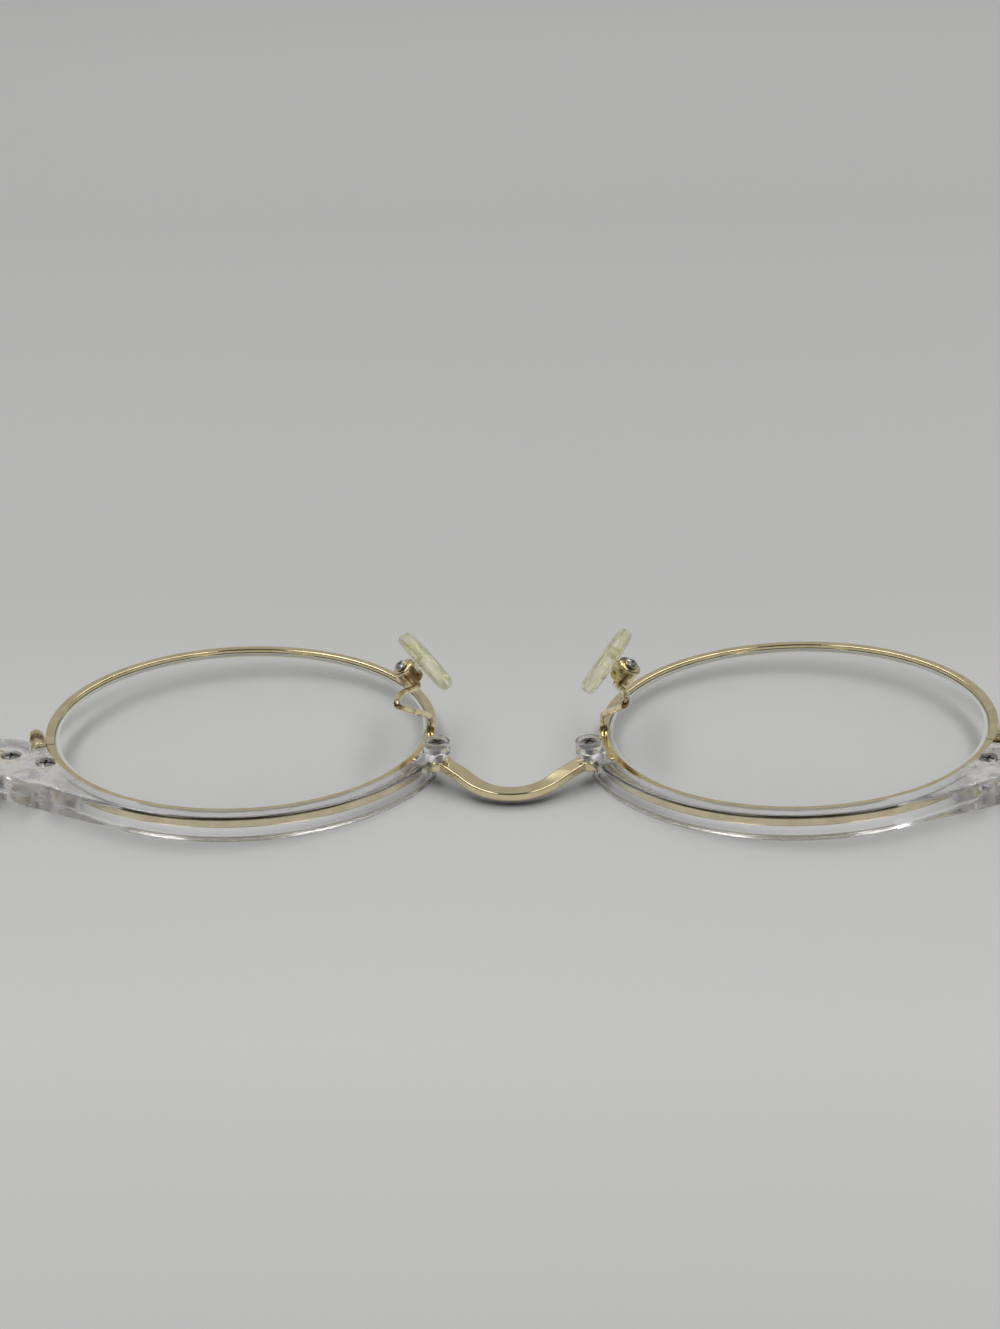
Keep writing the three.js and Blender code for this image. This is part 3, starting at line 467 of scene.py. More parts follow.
def acetate_finish(name, smoothest, roughest):
    """Clear acetate: a little uneven, with fine scuffs, and with the brow's painted reflection, painted
    shade and frost.
    """
    material, tree = new_finish(name)
    place = tree.place()
    crease, frost, lip = (tree.stored(value) for value in ("crease", "frost", "lip"))
    swell = tree.noise(place, *ACETATE_SWELL)
    scuff = tree.noise(place, *ACETATE_SCUFF)
    worn = tree.ramp(swell, *WORN_EDGE)
    grain = {"Vector": place, "Scale": FROST_GRAIN}
    crystal = tree.add("ShaderNodeTexVoronoi", {}, grain, output="Distance")
    frosted = frost * tree.ramp(tree.noise(place, *FROST_PATCH), *FROST_EDGE)
    height = SWELL_HEIGHT * swell + SCUFF_HEIGHT * scuff + FROST_HEIGHT * (frosted * crystal)
    bump = tree.bump(height, *ACETATE_BUMP)
    clear = tree.shader({
        # the painted dark reflection and the painted shade darken the clear part
        "Base Color": tree.blend(crease, tree.blend(lip, ACETATE, PAINTED_SHADE_TINT), PAINTED_REFLECTION_COLOUR),
        "Roughness": smoothest + (roughest - smoothest) * (worn * scuff) + FROST_ROUGHNESS * frosted,
        "IOR": ACETATE_IOR,
        "Transmission Weight": ACETATE_CLEAR,
        "Normal": bump,
    })
    matt = tree.shader({
        # painted olive shade in the matt part
        "Base Color": tree.blend(lip, FROST_WHITE, PAINTED_SHADE_OLIVE),
        "Roughness": 1.0,
        "Specular IOR Level": 0.0,
        "Normal": bump,
    })
    # matt share: the frost, and the painted olive shade
    share = FROST_SHARE * frosted + PAINTED_SHADE_SHARE * lip
    mixed = tree.add("ShaderNodeMixShader", {}, {0: share, 1: clear, 2: matt})
    let_light_through(tree, mixed, ACETATE_PALE_SHADOW)
    return material


CLEAR = acetate_finish("clear_acetate", *POLISHED_ROUGHNESS)
SAWN = acetate_finish("sawn_acetate", *SAWN_ROUGHNESS)
print("finishes", CLEAR.name, SAWN.name)

# %% [markdown]
# ## Lens and pad finishes
#
# The lenses are clear too, with a faint smear in their roughness and a matt ground edge. The pads are
# soft and milky, yellowed by wear, with cloudy marbling. All of them let the lamps through by the same
# helper.

# %% Lens and pad finishes
LENS_TINT = (0.995, 1.0, 0.995)
LENS_IOR = 1.5
LENS_SMEAR = (70, 4, 0.6)
SMEAR_EDGE = (0.4, 0.9)
SMEAR_ROUGHNESS = 0.012
LENS_EDGE_TINT = (0.87, 0.89, 0.83)
LENS_EDGE_CLEAR = 0.25
LENS_EDGE_GRAIN = (6000, 3)
LENS_EDGE_BUMP = (0.2, 0.00003)
LENS_EDGE_ROUGHNESS = 0.35
GROUND_ROUGHNESS = 0.25
PAD_PALE = (0.95, 0.95, 0.78)
PAD_DEEP = (0.88, 0.83, 0.42)
PAD_MARBLE = (620, 5, 0.6)
MARBLE_EDGE = (0.35, 0.7)
PAD_DIMPLE = (2400, 3)
PAD_BUMP = (0.25, 0.0002)
PAD_ROUGHNESS = 0.06
MARBLE_ROUGHNESS = 0.34
PAD_IOR = 1.41
PAD_CLEAR = 0.86
GREY_SHADOW = 0.8


def lens_finish():
    """Clear lens with a faint wipe mark."""
    material, tree = new_finish("clear_lens")
    smear = tree.ramp(tree.noise(tree.place(), *LENS_SMEAR), *SMEAR_EDGE)
    shader = tree.shader({
        "Base Color": (*LENS_TINT, 1),
        "Roughness": SMEAR_ROUGHNESS * smear,
        "IOR": LENS_IOR,
        "Transmission Weight": 1.0,
    })
    let_light_through(tree, shader, 1.0)
    return material


def lens_edge_finish():
    """Ground edge of a lens: pale and a little green, matt, still letting light in."""
    material, tree = new_finish("ground_lens_edge")
    grain = tree.noise(tree.place(), *LENS_EDGE_GRAIN)
    shader = tree.shader({
        "Base Color": (*LENS_EDGE_TINT, 1),
        "Roughness": LENS_EDGE_ROUGHNESS + GROUND_ROUGHNESS * grain,
        "IOR": LENS_IOR,
        "Transmission Weight": LENS_EDGE_CLEAR,
        "Normal": tree.bump(grain, *LENS_EDGE_BUMP),
    })
    let_light_through(tree, shader, GREY_SHADOW)
    return material


def pad_finish():
    """Soft pad: milky, yellowed by wear, with cloudy marbling."""
    material, tree = new_finish("milky_pad")
    place = tree.place()
    marble = tree.noise(place, *PAD_MARBLE)
    dimple = tree.noise(place, *PAD_DIMPLE)
    shader = tree.shader({
        "Base Color": tree.blend(tree.ramp(marble, *MARBLE_EDGE), PAD_PALE, PAD_DEEP),
        "Roughness": PAD_ROUGHNESS + MARBLE_ROUGHNESS * marble,
        "IOR": PAD_IOR,
        "Transmission Weight": PAD_CLEAR,
        "Normal": tree.bump(dimple, *PAD_BUMP),
    })
    let_light_through(tree, shader, GREY_SHADOW)
    return material


LENS = lens_finish()
LENS_EDGE = lens_edge_finish()
PAD = pad_finish()
print("finishes", LENS.name, LENS_EDGE.name, PAD.name)

# %% [markdown]
# ## Screw finishes
#
# Most screws are dark steel with grime in patches. The screws of the pads are paler nickel. At this size
# one noise in the colour, the roughness and a shallow bump is enough.

# %% Screw finishes
STEEL_LIGHT = (0.32, 0.32, 0.315)
STEEL_DARK = (0.06, 0.06, 0.06)
NICKEL_LIGHT = (0.80, 0.79, 0.77)
NICKEL_DARK = (0.16, 0.155, 0.15)
GRIME = (1500, 4, 0.65)
GRIME_EDGE = (0.4, 0.7)
GRIME_BUMP = (0.1, 0.00005)
STEEL_ROUGHNESS = 0.18
GRIME_ROUGHNESS = 0.3


def screw_finish(name, light, dark):
    """Metal between two tones, rougher where grime lies on it."""
    material, tree = new_finish(name)
    grime = tree.noise(tree.place(), *GRIME)
    tree.finish({
        "Base Color": tree.blend(tree.ramp(grime, *GRIME_EDGE), light, dark),
        "Metallic": 1.0,
        "Roughness": STEEL_ROUGHNESS + GRIME_ROUGHNESS * grime,
        "Normal": tree.bump(grime, *GRIME_BUMP),
    })
    return material


STEEL = screw_finish("screw_steel", STEEL_LIGHT, STEEL_DARK)
NICKEL = screw_finish("screw_nickel", NICKEL_LIGHT, NICKEL_DARK)
print("finishes", STEEL.name, NICKEL.name)

# %% [markdown]
# ## Mesh helpers
#
# Most pieces are one outline carried along a path: a rim is a small section turned round a circle, a brow
# is a rounded bar that widens towards the temple. `skin` covers a row of such sections with quads.
# `rounded` turns the corners of a section into arcs and sets a point beside each arc, so that smooth
# shading keeps the flats flat.

# %% Mesh helpers
SHARP_ANGLE = 38
DOUBLES = 1e-4
CORNER_STEPS = 5
CORNER_HOLD = 0.35
TURN_SIDES = 48


def finished(mesh, sharp=SHARP_ANGLE):
    """Merges doubles, turns faces outwards and shades smooth between sharp edges."""
    shape = bmesh.new()
    shape.from_mesh(mesh)
    bmesh.ops.remove_doubles(shape, verts=shape.verts, dist=DOUBLES)
    loose = [edge for edge in shape.edges if not edge.link_faces]
    bmesh.ops.delete(shape, geom=loose, context="EDGES")
    bmesh.ops.recalc_face_normals(shape, faces=shape.faces)
    shape.to_mesh(mesh)
    shape.free()
    mesh.shade_smooth()
    mesh.set_sharp_from_angle(angle=radians(sharp))
    return mesh


def skin(name, rows, ring=False):
    """A mesh over rows of points, each a closed outline. Its ends are closed unless it is a ring."""
    count, total = len(rows[0]), len(rows)
    faces = []
    for row in range(total if ring else total - 1):
        here, there = row * count, (row + 1) % total * count
        for i in range(count):
            j = (i + 1) % count
            faces.append((here + i, here + j, there + j, there + i))
    if not ring:
        faces.append(tuple(range(count)))
        faces.append(tuple(range((total - 1) * count, total * count)))
    mesh = bpy.data.meshes.new(name)
    mesh.from_pydata(np.concatenate(rows).tolist(), [], faces)
    return finished(mesh)


def revolved(name, profile, sides=TURN_SIDES):
    """Turns a profile of pairs, radius and height, round the z axis."""
    profile = np.asarray(profile, float)
    rows = []
    for turn in np.linspace(0, 2 * pi, sides, endpoint=False):
        rows.append(np.stack(
            [profile[:, 0] * cos(turn), profile[:, 0] * sin(turn), profile[:, 1]], axis=1))
    return skin(name, rows, ring=True)


def unit(vector):
    """The same direction with a length of 1."""
    return vector / np.linalg.norm(vector)


def rounded(corners, radius, steps=CORNER_STEPS, hold=CORNER_HOLD):
    """Outline of a polygon with each corner turned into an arc, as pairs."""
    corners = np.asarray(corners, float)
    radii = np.broadcast_to(radius, len(corners))
    points = []
    for i, corner in enumerate(corners):
        back = unit(corners[i - 1] - corner)
        ahead = unit(corners[(i + 1) % len(corners)] - corner)
        half = acos(float(np.clip(back @ ahead, -1, 1))) / 2
        sweep = pi - 2 * half
        setback = radii[i] / tan(half)
        centre = corner + unit(back + ahead) * radii[i] / sin(half)
        first, last = corner + back * setback - centre, corner + ahead * setback - centre
        points.append(corner + back * setback * (1 + hold))
        for share in np.linspace(0, 1, steps + 1):
            spoke = first * sin((1 - share) * sweep) + last * sin(share * sweep)
            points.append(centre + spoke / sin(sweep))
        points.append(corner + ahead * setback * (1 + hold))
    return np.array(points)


print("mesh helpers: sharp edges from", SHARP_ANGLE, "degrees")

# %% [markdown]
# ## Joining and placing
#
# Pockets and joints are booleans, done with a modifier that is baked at once. Every piece is drawn in its
# own axes. `add_piece` carries a copy of it to its place, gives it its finishes and tells the frame two
# things: the body that it rides on and the imported solids that it replaces.

# %% Joining and placing
BLOCK_EDGE = 0.12
BLOCK_STEPS = 3


def combined(mesh, operation, *tools):
    """Joins tools to a mesh (UNION) or cuts them out of it (DIFFERENCE)."""
    body = bpy.data.objects.new("body", mesh)
    helpers = [bpy.data.objects.new(tool.name, tool) for tool in tools]
    for each in (body, *helpers):
        scene.collection.objects.link(each)
    for helper in helpers:
        modifier = body.modifiers.new("combine", "BOOLEAN")
        modifier.operation = operation
        modifier.solver = "EXACT"
        modifier.material_mode = "TRANSFER"
        modifier.object = helper
    graph = bpy.context.evaluated_depsgraph_get()
    result = bpy.data.meshes.new_from_object(body.evaluated_get(graph))
    for each in (body, *helpers):
        bpy.data.objects.remove(each)
    return finished(result)


def block(name, low, high, edge=BLOCK_EDGE):
    """A block between two corners with rounded edges."""
    shape = bmesh.new()
    bmesh.ops.create_cube(shape, size=1)
    low, high = Vector(low), Vector(high)
    for vertex in shape.verts:
        vertex.co = [low[i] + (vertex.co[i] + 0.5) * (high[i] - low[i]) for i in range(3)]
    if edge:
        bmesh.ops.bevel(
            shape, geom=shape.edges, offset=edge, segments=BLOCK_STEPS, profile=0.5, affect="EDGES")
    mesh = bpy.data.meshes.new(name)
    shape.to_mesh(mesh)
    shape.free()
    return finished(mesh)


def placed(mesh, axes):
    """The mesh carried by a matrix, with its faces kept outwards."""
    mesh.transform(axes)
    if axes.determinant() < 0:
        mesh.flip_normals()
    return mesh


def add_piece(name, mesh, axes, body, nodes, finishes=None):
    """Puts a finished copy of a mesh in the scene, on its body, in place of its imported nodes."""
    shape = placed(mesh.copy(), axes)
    shape.name = name
    if finishes:
        shape.materials.clear()
        for finish in finishes:
            shape.materials.append(finish)
    piece = bpy.data.objects.new(name, shape)
    scene.collection.objects.link(piece)
    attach(piece, body)
    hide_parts(*nodes)
    print(f"{name}: {len(shape.polygons)} faces on {body}")
    return piece


print("joining and placing ready, block edges", BLOCK_EDGE, "mm")

# %% [markdown]
# ## Rims
#
# Each rim is a thin gold ring with a groove on its inside for the lens, and a slit at the temple side
# where the closing block can draw it tight. The ring is its section turned round the eye's middle. Only
# the slit needs a cut. Turning keeps the edges of the ring crisp and even, which a bevelled tube would
# not.

# %% Rims
BEVEL_HOLD = 0.3
RIM_WALL = 1.1
RIM_EDGE = 0.18
RIM_SLIT = 0.15
GROOVE_LEVEL = -0.95
GROOVE_MOUTH = 1.0
CLOSING_ANGLE = 70.5
LENS_RADIUS = LENS_DIAMETER / 2
RIM_INNER = LENS_RADIUS - BEVEL_HOLD
RIM_OUTER = RIM_INNER + RIM_WALL
RIM_SIDES = 240
RIM_EDGE_STEPS = 4


def on_ring(radius, angle, back=0.0):
    """A place on a circle round the eye. The angle runs from the brow towards the temple."""
    turn = radians(angle)
    return np.array([radius * sin(turn), -radius * cos(turn), back])


def rim_axes(angle):
    """Axes at a place on the rim: x outwards, y to the back, z along the rim towards its top."""
    outwards, back = Vector(on_ring(1, angle)), Vector((0, 0, 1))
    return Matrix((outwards, back, outwards.cross(back))).transposed().to_4x4()


def rim_mesh():
    corners = [(RIM_INNER, 0), (RIM_INNER, -RIM_DEPTH), (RIM_OUTER, -RIM_DEPTH), (RIM_OUTER, 0)]
    shell = rounded(corners, RIM_EDGE, RIM_EDGE_STEPS)
    inside = len(shell) // len(corners)
    groove = np.array([
        (RIM_INNER, GROOVE_LEVEL + GROOVE_MOUTH / 2),
        (LENS_RADIUS + BEVEL_HOLD, GROOVE_LEVEL),
        (RIM_INNER, GROOVE_LEVEL - GROOVE_MOUTH / 2),
    ])
    ring = revolved("rim", np.concatenate([shell[:inside], groove, shell[inside:]]), RIM_SIDES)
    low = (RIM_INNER - RIM_WALL, -2 * RIM_DEPTH, -RIM_SLIT / 2)
    high = (RIM_OUTER + RIM_WALL, RIM_DEPTH, RIM_SLIT / 2)
    slit = placed(block("slit", low, high, 0), rim_axes(CLOSING_ANGLE))
    return combined(ring, "DIFFERENCE", slit)


rim = rim_mesh()
for side, sign in SIDES.items():
    add_piece(f"{side}_gold_rim", rim, eye_axes(sign), "front", [f"{side}_eyewire"], [GOLD])

# %% [markdown]
# ## Lenses
#
# A lens is a thin shell cut from two spheres, with a bevel round its edge that sits in the rim's groove.
# Its profile is worked out from the radius of its front, so the surface is a true sphere and the floor
# seen through it stays undistorted, as it does in the photograph. The bevel and a narrow chamfer get the
# ground finish.

# %% Lenses
LENS_CURVE = 124.5
LENS_THICKNESS = 1.1
BEVEL_WIDTH = 0.8
LENS_FIT = 0.06
LENS_CHAMFER = 0.5
LENS_SHARP = 10
LENS_RINGS = 14
LENS_SIDES = 160


def sag(curve, radius):
    """Depth of a sphere's cap at a radius."""
    return curve - sqrt(curve * curve - radius * radius)


def lens_face(curve, level, edge, radii):
    """Profile of a polished face, a part of a sphere that would meet its level at the edge."""
    return [(radius, level - sag(curve, edge) + sag(curve, radius)) for radius in radii]


def lens_mesh():
    body = RIM_INNER - LENS_FIT
    polished = body - LENS_CHAMFER
    shares = np.linspace(0, 1, LENS_RINGS)
    front_level = GROOVE_LEVEL - LENS_THICKNESS / 2
    back_level = GROOVE_LEVEL + LENS_THICKNESS / 2 + LENS_FIT
    front = lens_face(LENS_CURVE, front_level, body, body * shares)
    back = lens_face(LENS_CURVE - LENS_THICKNESS, back_level, body, polished * shares[::-1])
    bevel = BEVEL_WIDTH / 2
    edge = [(body, GROOVE_LEVEL - bevel), (LENS_RADIUS, GROOVE_LEVEL), (body, GROOVE_LEVEL + bevel)]
    mesh = finished(revolved("lens", [*front, *edge, *back], LENS_SIDES), LENS_SHARP)
    mesh.materials.append(LENS)
    mesh.materials.append(LENS_EDGE)
    for face in mesh.polygons:
        face.material_index = int(Vector(face.center[:2]).length > polished)
    return mesh


lens = lens_mesh()
for side, sign in SIDES.items():
    add_piece(f"{side}_round_lens", lens, eye_axes(sign), "front", [f"{side}_lens"])

# %% [markdown]
# ## Closing blocks and rim tabs
#
# At the temple side two small gold halves are soldered to the rim on either side of its slit, and a screw
# draws them together. They have a domed back. Close by, a flat tab on the rim carries the inner screw of
# the end piece. Both are outlines pushed straight out, with their end edges rounded, and they run a
# little into the rim so that the solder joint shows no gap.

# %% Closing blocks and rim tabs
SOLDER = 0.1
RUN_IN = 0.15
CLOSING_UPPER = 2.2
CLOSING_LOWER = 1.9
CLOSING_WIDTH = 1.8
CLOSING_TOP = 1.4
CLOSING_MIDDLE = RIM_OUTER + SOLDER + CLOSING_WIDTH / 2
INNER_SCREW_ANGLE = 55.7
INNER_SCREW_OUT = 1.45
RIM_LUG_HALF = 1.1
RIM_LUG_THICKNESS = 0.8
RIM_LUG_EDGE = 0.1
RIM_LUG_ROUND = 0.9
CLOSING_EDGE = 0.14
CLOSING_ARC = 19
END_EDGE_ROWS = 4
CLOSING_AXES = rim_axes(CLOSING_ANGLE) @ Matrix.Translation((CLOSING_MIDDLE, 0, 0))


def closing_outline(grow, inner):
    """Section of the closing block: a bar with a round back."""
    half = CLOSING_WIDTH / 2 + grow
    low, dome = RIM_EDGE - RIM_DEPTH - grow, CLOSING_TOP - CLOSING_WIDTH / 2
    arc = [(half * cos(turn), dome + half * sin(turn)) for turn in np.linspace(0, pi, CLOSING_ARC)]
    return np.array([(-inner, low), (half, low), *arc, (-inner, dome)])


def pushed(name, outline, low, high, edge=0.0):
    """A straight bar of an outline between two heights, with its end edges rounded."""
    middle = outline.mean(axis=0)
    reach = np.abs(outline - middle).max()
    turns = np.linspace(0, pi / 2, END_EDGE_ROWS) if edge else [pi / 2]
    rows = [(low + edge * (1 - cos(turn)), 1 - edge * (1 - sin(turn)) / reach) for turn in turns]
    rows += [(high + low - height, share) for height, share in rows[::-1]]
    return skin(name, [
        np.column_stack([middle + (outline - middle) * share, np.full(len(outline), height)])
        for height, share in rows])


def closing_half(low, high):
    outline = closing_outline(0, CLOSING_WIDTH / 2 + RUN_IN)
    return placed(pushed("closing", outline, low, high, CLOSING_EDGE), CLOSING_AXES)


def rim_tab(grow=0.0):
    """The tab under the inner screw, or the room for it."""
    near, far = RIM_OUTER - RUN_IN - grow, RIM_OUTER + INNER_SCREW_OUT + RIM_LUG_HALF + grow
    half = RIM_LUG_HALF + grow
    low, high = GROOVE_LEVEL - RIM_LUG_THICKNESS / 2 - grow, GROOVE_LEVEL + RIM_LUG_THICKNESS / 2 + grow
    far_round = half * RIM_LUG_ROUND
    radii = [RIM_LUG_EDGE, far_round, far_round, RIM_LUG_EDGE]
    outline = rounded([(near, -half), (far, -half), (far, half), (near, half)], radii)
    turned = rim_axes(INNER_SCREW_ANGLE) @ Matrix.Rotation(-pi / 2, 4, "X")
    return placed(pushed("rim_tab", outline, low, high, RIM_LUG_EDGE), turned)


closing_pair = {
    "upper": closing_half(RIM_SLIT / 2, CLOSING_UPPER),
    "lower": closing_half(-CLOSING_LOWER, -RIM_SLIT / 2),
}
tab = rim_tab()
for side, sign in SIDES.items():
    for half, mesh in closing_pair.items():
        node = f"{side}_closing_block_{half}"
        add_piece(f"{side}_{half}_closing_half", mesh, eye_axes(sign), "front", [node], [GOLD_WITH_PAINTED_STREAKS])
    add_piece(f"{side}_rim_tab", tab, eye_axes(sign), "front", [f"{side}_rim_lug"], [GOLD])

# %% [markdown]
# ## Clear brows
#
# A brow is one piece of clear acetate. It follows the rim as a rounded bar. At the nose the bar ends in
# front of the bridge's lug, and a flat tongue with a round boss leaves its back and is screwed over the
# lug. At the temple the bar leaves the rim's curve in a straight line and widens into the end piece that
# holds the hinge. The bar is skinned over sections at many stations along that path, because the size of
# the section changes on the way. Tongue and boss are joined to it, and the pockets for the lug, the
# closing block, the rim's tab and the screws are cut out after that.

# %% Sizes of the brows
FIT = 0.25
OVERLAP = 0.07
HOLE = 0.12
BROW_WIDTH = 2.05
BROW_DEPTH = 3.25
BROW_PROUD = 0.45
BROW_ROUND = 0.42
BROW_CRISP = 0.16
BROW_LEAST_ROUND = 0.06
BROW_EDGE_STEPS = 8
BAR_END_SHARES = (0, 0.1, 0.3, 0.6)
BAR_STEP = 1
BROW_NOSE_ANGLE = -71.5
TONGUE_FLAT_ANGLE = -69
TONGUE_ROOT_ANGLE = -62
TONGUE_WIDTH = 2.9
TONGUE_DEPTH = 1.2
TONGUE_TIP = 0.08
TONGUE_TIP_ROWS = 9
TONGUE_ROWS = 15
BOSS_RADIUS = 1.6
BOSS_RISE = 0.9
LUG_ANGLE = -70
LUG_OUT = 2.6
LUG_TOP = 0.45
END_SLOPE = 22.4
END_ANGLE = 60
END_REACH = 14.2
END_DROP = 3.7
END_RISE = 0.4
END_RISE_STRETCH = (0.1, 0.45)
END_ROWS = 52
END_ARC = 40
OUTER_SCREW_OUT = 4.9
OUTER_SCREW_UP = 0.7
BROW_INNER = RIM_OUTER + FIT
BROW_OUTER = BROW_INNER + BROW_WIDTH
BROW_FRONT = BROW_PROUD - BROW_DEPTH
END_BACK = BROW_PROUD + END_RISE
LUG_PITCH = RIM_OUTER + LUG_OUT
TONGUE_FRONT = LUG_TOP + FIT
TONGUE_BACK = TONGUE_FRONT + TONGUE_DEPTH
BOSS_BACK = TONGUE_BACK + BOSS_RISE

end_place = on_ring(RIM_OUTER, END_ANGLE)
end_tip = end_place[0] + END_REACH
end_bottom = end_place[1] + END_DROP
end_top_start = on_ring(BROW_OUTER, END_SLOPE)
outer_screw = np.array([end_place[0] + OUTER_SCREW_OUT, end_place[1] - OUTER_SCREW_UP, END_BACK])
inner_screw = on_ring(RIM_OUTER + INNER_SCREW_OUT, INNER_SCREW_ANGLE, END_BACK)
print("end piece reaches", round(end_tip, 2), "mm from the eye's middle")

# %% [markdown]
# ## Sections of the brows
#
# One function draws a rounded section between a place on the inner edge and a place on the outer edge.
# Three more put such sections in a row, for the tongue, the bar and the end piece. At the nose end of the
# bar and at the tip of the end piece they draw in along a quarter of a circle, which rounds both ends.

# %% Sections of the brows
def end_top(x):
    """Height of the end piece's straight top edge."""
    return end_top_start[1] + (x - end_top_start[0]) * tan(radians(END_SLOPE))


def ease(value, low, high):
    """Rises smoothly from 0 to 1 as value goes from low to high."""
    share = min(max((value - low) / (high - low), 0), 1)
    return share * share * (3 - 2 * share)


def mix(first, second, share):
    """A place between two values or points."""
    return first + (second - first) * share


def brow_section(inner, outer, front, back, edge, inset=0.0):
    """Rounded section between two places on the brow's edges, drawn in by an inset."""
    across = unit((outer - inner)[:2])
    width = np.linalg.norm((outer - inner)[:2]) - 2 * inset
    low, high = front + inset, back - inset
    soft = max(edge - inset / 2, BROW_LEAST_ROUND)
    radii = [soft, soft, soft, min(soft, BROW_CRISP)]
    outline = rounded([(0, low), (width, low), (width, high), (0, high)], radii, BROW_EDGE_STEPS)
    sides = inner[:2] + across * inset + outline[:, :1] * across
    return np.column_stack([sides, outline[:, 1]])


def spaced(points, count):
    """Places at even distances along a line of points."""
    points = np.asarray(points)
    steps = np.linalg.norm(np.diff(points, axis=0), axis=1)
    length = np.concatenate([[0], np.cumsum(steps)])
    wanted = np.linspace(0, length[-1], count)
    return np.column_stack([np.interp(wanted, length, points[:, i]) for i in range(points.shape[1])])


def tongue_sections():
    """The tongue: half a circle round the nose screw, then a slope that sinks into the bar."""
    rows = []
    half = TONGUE_WIDTH / 2
    for share in np.linspace(TONGUE_TIP, 1, TONGUE_TIP_ROWS):
        reach = half * sqrt(1 - (1 - share) ** 2)
        angle = LUG_ANGLE - degrees(half * (1 - share) / LUG_PITCH)
        inner, outer = on_ring(LUG_PITCH - reach, angle), on_ring(LUG_PITCH + reach, angle)
        rows.append(brow_section(inner, outer, TONGUE_FRONT, TONGUE_BACK, min(BROW_ROUND / 2, reach / 3)))
    for angle in np.linspace(TONGUE_FLAT_ANGLE, TONGUE_ROOT_ANGLE, TONGUE_ROWS):
        sunk = ease(angle, TONGUE_FLAT_ANGLE, TONGUE_ROOT_ANGLE)
        rows.append(brow_section(
            on_ring(mix(LUG_PITCH - half, BROW_INNER + BROW_ROUND, sunk), angle),
            on_ring(mix(LUG_PITCH + half, BROW_OUTER - BROW_ROUND, sunk), angle),
            mix(TONGUE_FRONT, BROW_PROUD - TONGUE_DEPTH, sunk),
            mix(TONGUE_BACK, BROW_PROUD - BROW_ROUND / 2, sunk), BROW_ROUND / 2))
    return rows


def bar_section(angle, inset=0.0):
    """Section of the bar at an angle along the rim."""
    inner, outer = on_ring(BROW_INNER, angle), on_ring(BROW_OUTER, angle)
    return brow_section(inner, outer, BROW_FRONT, BROW_PROUD, BROW_ROUND, inset)


def bar_sections():
    """The bar along the rim, with a rounded end in front of the bridge's lug."""
    rows = []
    soft = BROW_ROUND / 2
    for along in BAR_END_SHARES:
        angle = BROW_NOSE_ANGLE + degrees(along * soft / BROW_OUTER)
        inset = soft * (1 - sqrt(1 - (1 - along) ** 2))
        rows.append(bar_section(angle, inset))
    angles = np.arange(BROW_NOSE_ANGLE + BAR_STEP, END_SLOPE - BAR_STEP / 2, BAR_STEP)
    return rows + [bar_section(angle) for angle in angles]


def end_sections():
    """The end piece: from the rim's curve to the flat tip that the temple meets."""
    clear = CLOSING_ANGLE - degrees(CLOSING_UPPER / CLOSING_MIDDLE)
    arc = [on_ring(BROW_INNER, angle) for angle in np.linspace(END_SLOPE, clear, END_ARC)]
    lower = [(outer_screw[0], end_bottom, 0), (end_tip, end_bottom, 0)]
    inner = spaced([*arc, *lower], END_ROWS)
    outer = spaced([(*end_top_start[:2], 0), (end_tip, end_top(end_tip), 0)], END_ROWS)
    rows = []
    for i, (below, above) in enumerate(zip(inner, outer)):
        back = mix(BROW_PROUD, END_BACK, ease(i / (END_ROWS - 1), *END_RISE_STRETCH))
        left = (end_tip - max(below[0], above[0])) / BROW_ROUND
        inset = BROW_ROUND * (1 - sqrt(1 - (1 - left) ** 2)) if left < 1 else 0
        rows.append(brow_section(below, above, BROW_FRONT, back, BROW_ROUND, inset))
    return rows


brow_rows = bar_sections() + end_sections()
print("brow stations", len(brow_rows))

# %% [markdown]
# ## Pockets in the brows
#
# The brow is bored for its three screws and milled for the closing block and the tab. A screw's seat is a
# wide drum for the head with a narrow bore under it. All cutters are turned, pushed or block shapes in
# the same eye axes. The faces of these cuts get the sawn finish, apart from the room for the bridge's
# lug, which is polished. Pieces that are joined overlap a little, because faces that lie in one plane
# leave open edges.

# %% Pockets in the brows
SCREW_HEAD = 1.15
SCREW_HEAD_HEIGHT = 0.5
SCREW_SHANK = 0.5
RECESS_WIDTH = 0.3
BRIDGE_DEPTH = 1.2
LUG_RADIUS = 1.7
LUG_FOOT_HALF = 1.45
BOSS_EDGE = 0.16
AXIS_ROUND = 1e-3
DRUM_EDGE_STEPS = 4
DRUM_SIDES = 64
SEAT_SIDES = 40
brow_screw_length = BROW_DEPTH + END_RISE - BROW_ROUND
nose_screw_length = BOSS_BACK - LUG_TOP + BRIDGE_DEPTH - RIM_EDGE
nose_screw = on_ring(LUG_PITCH, LUG_ANGLE, BOSS_BACK - RECESS_WIDTH / 2)


def drum(name, radius, low, high, edge=0.0, sides=DRUM_SIDES):
    """A drum along z with rounded rims."""
    corners = [(0, low), (radius, low), (radius, high), (0, high)]
    if not edge:
        return revolved(name, corners, sides)
    outline = rounded(corners, [AXIS_ROUND, edge, edge, AXIS_ROUND], DRUM_EDGE_STEPS)
    outline[:, 0] = np.where(outline[:, 0] < 2 * AXIS_ROUND, 0, outline[:, 0])
    return revolved(name, outline, sides)


def screw_seat(place, length):
    """A cutter for a screw's head and shank, open above."""
    head, shank = SCREW_HEAD + HOLE, SCREW_SHANK + HOLE
    low, floor = -SCREW_HEAD_HEIGHT - HOLE, -length - HOLE
    profile = [(0, floor), (shank, floor), (shank, low), (head, low), (head, head), (0, head)]
    return placed(revolved("seat", profile, SEAT_SIDES), Matrix.Translation(place))


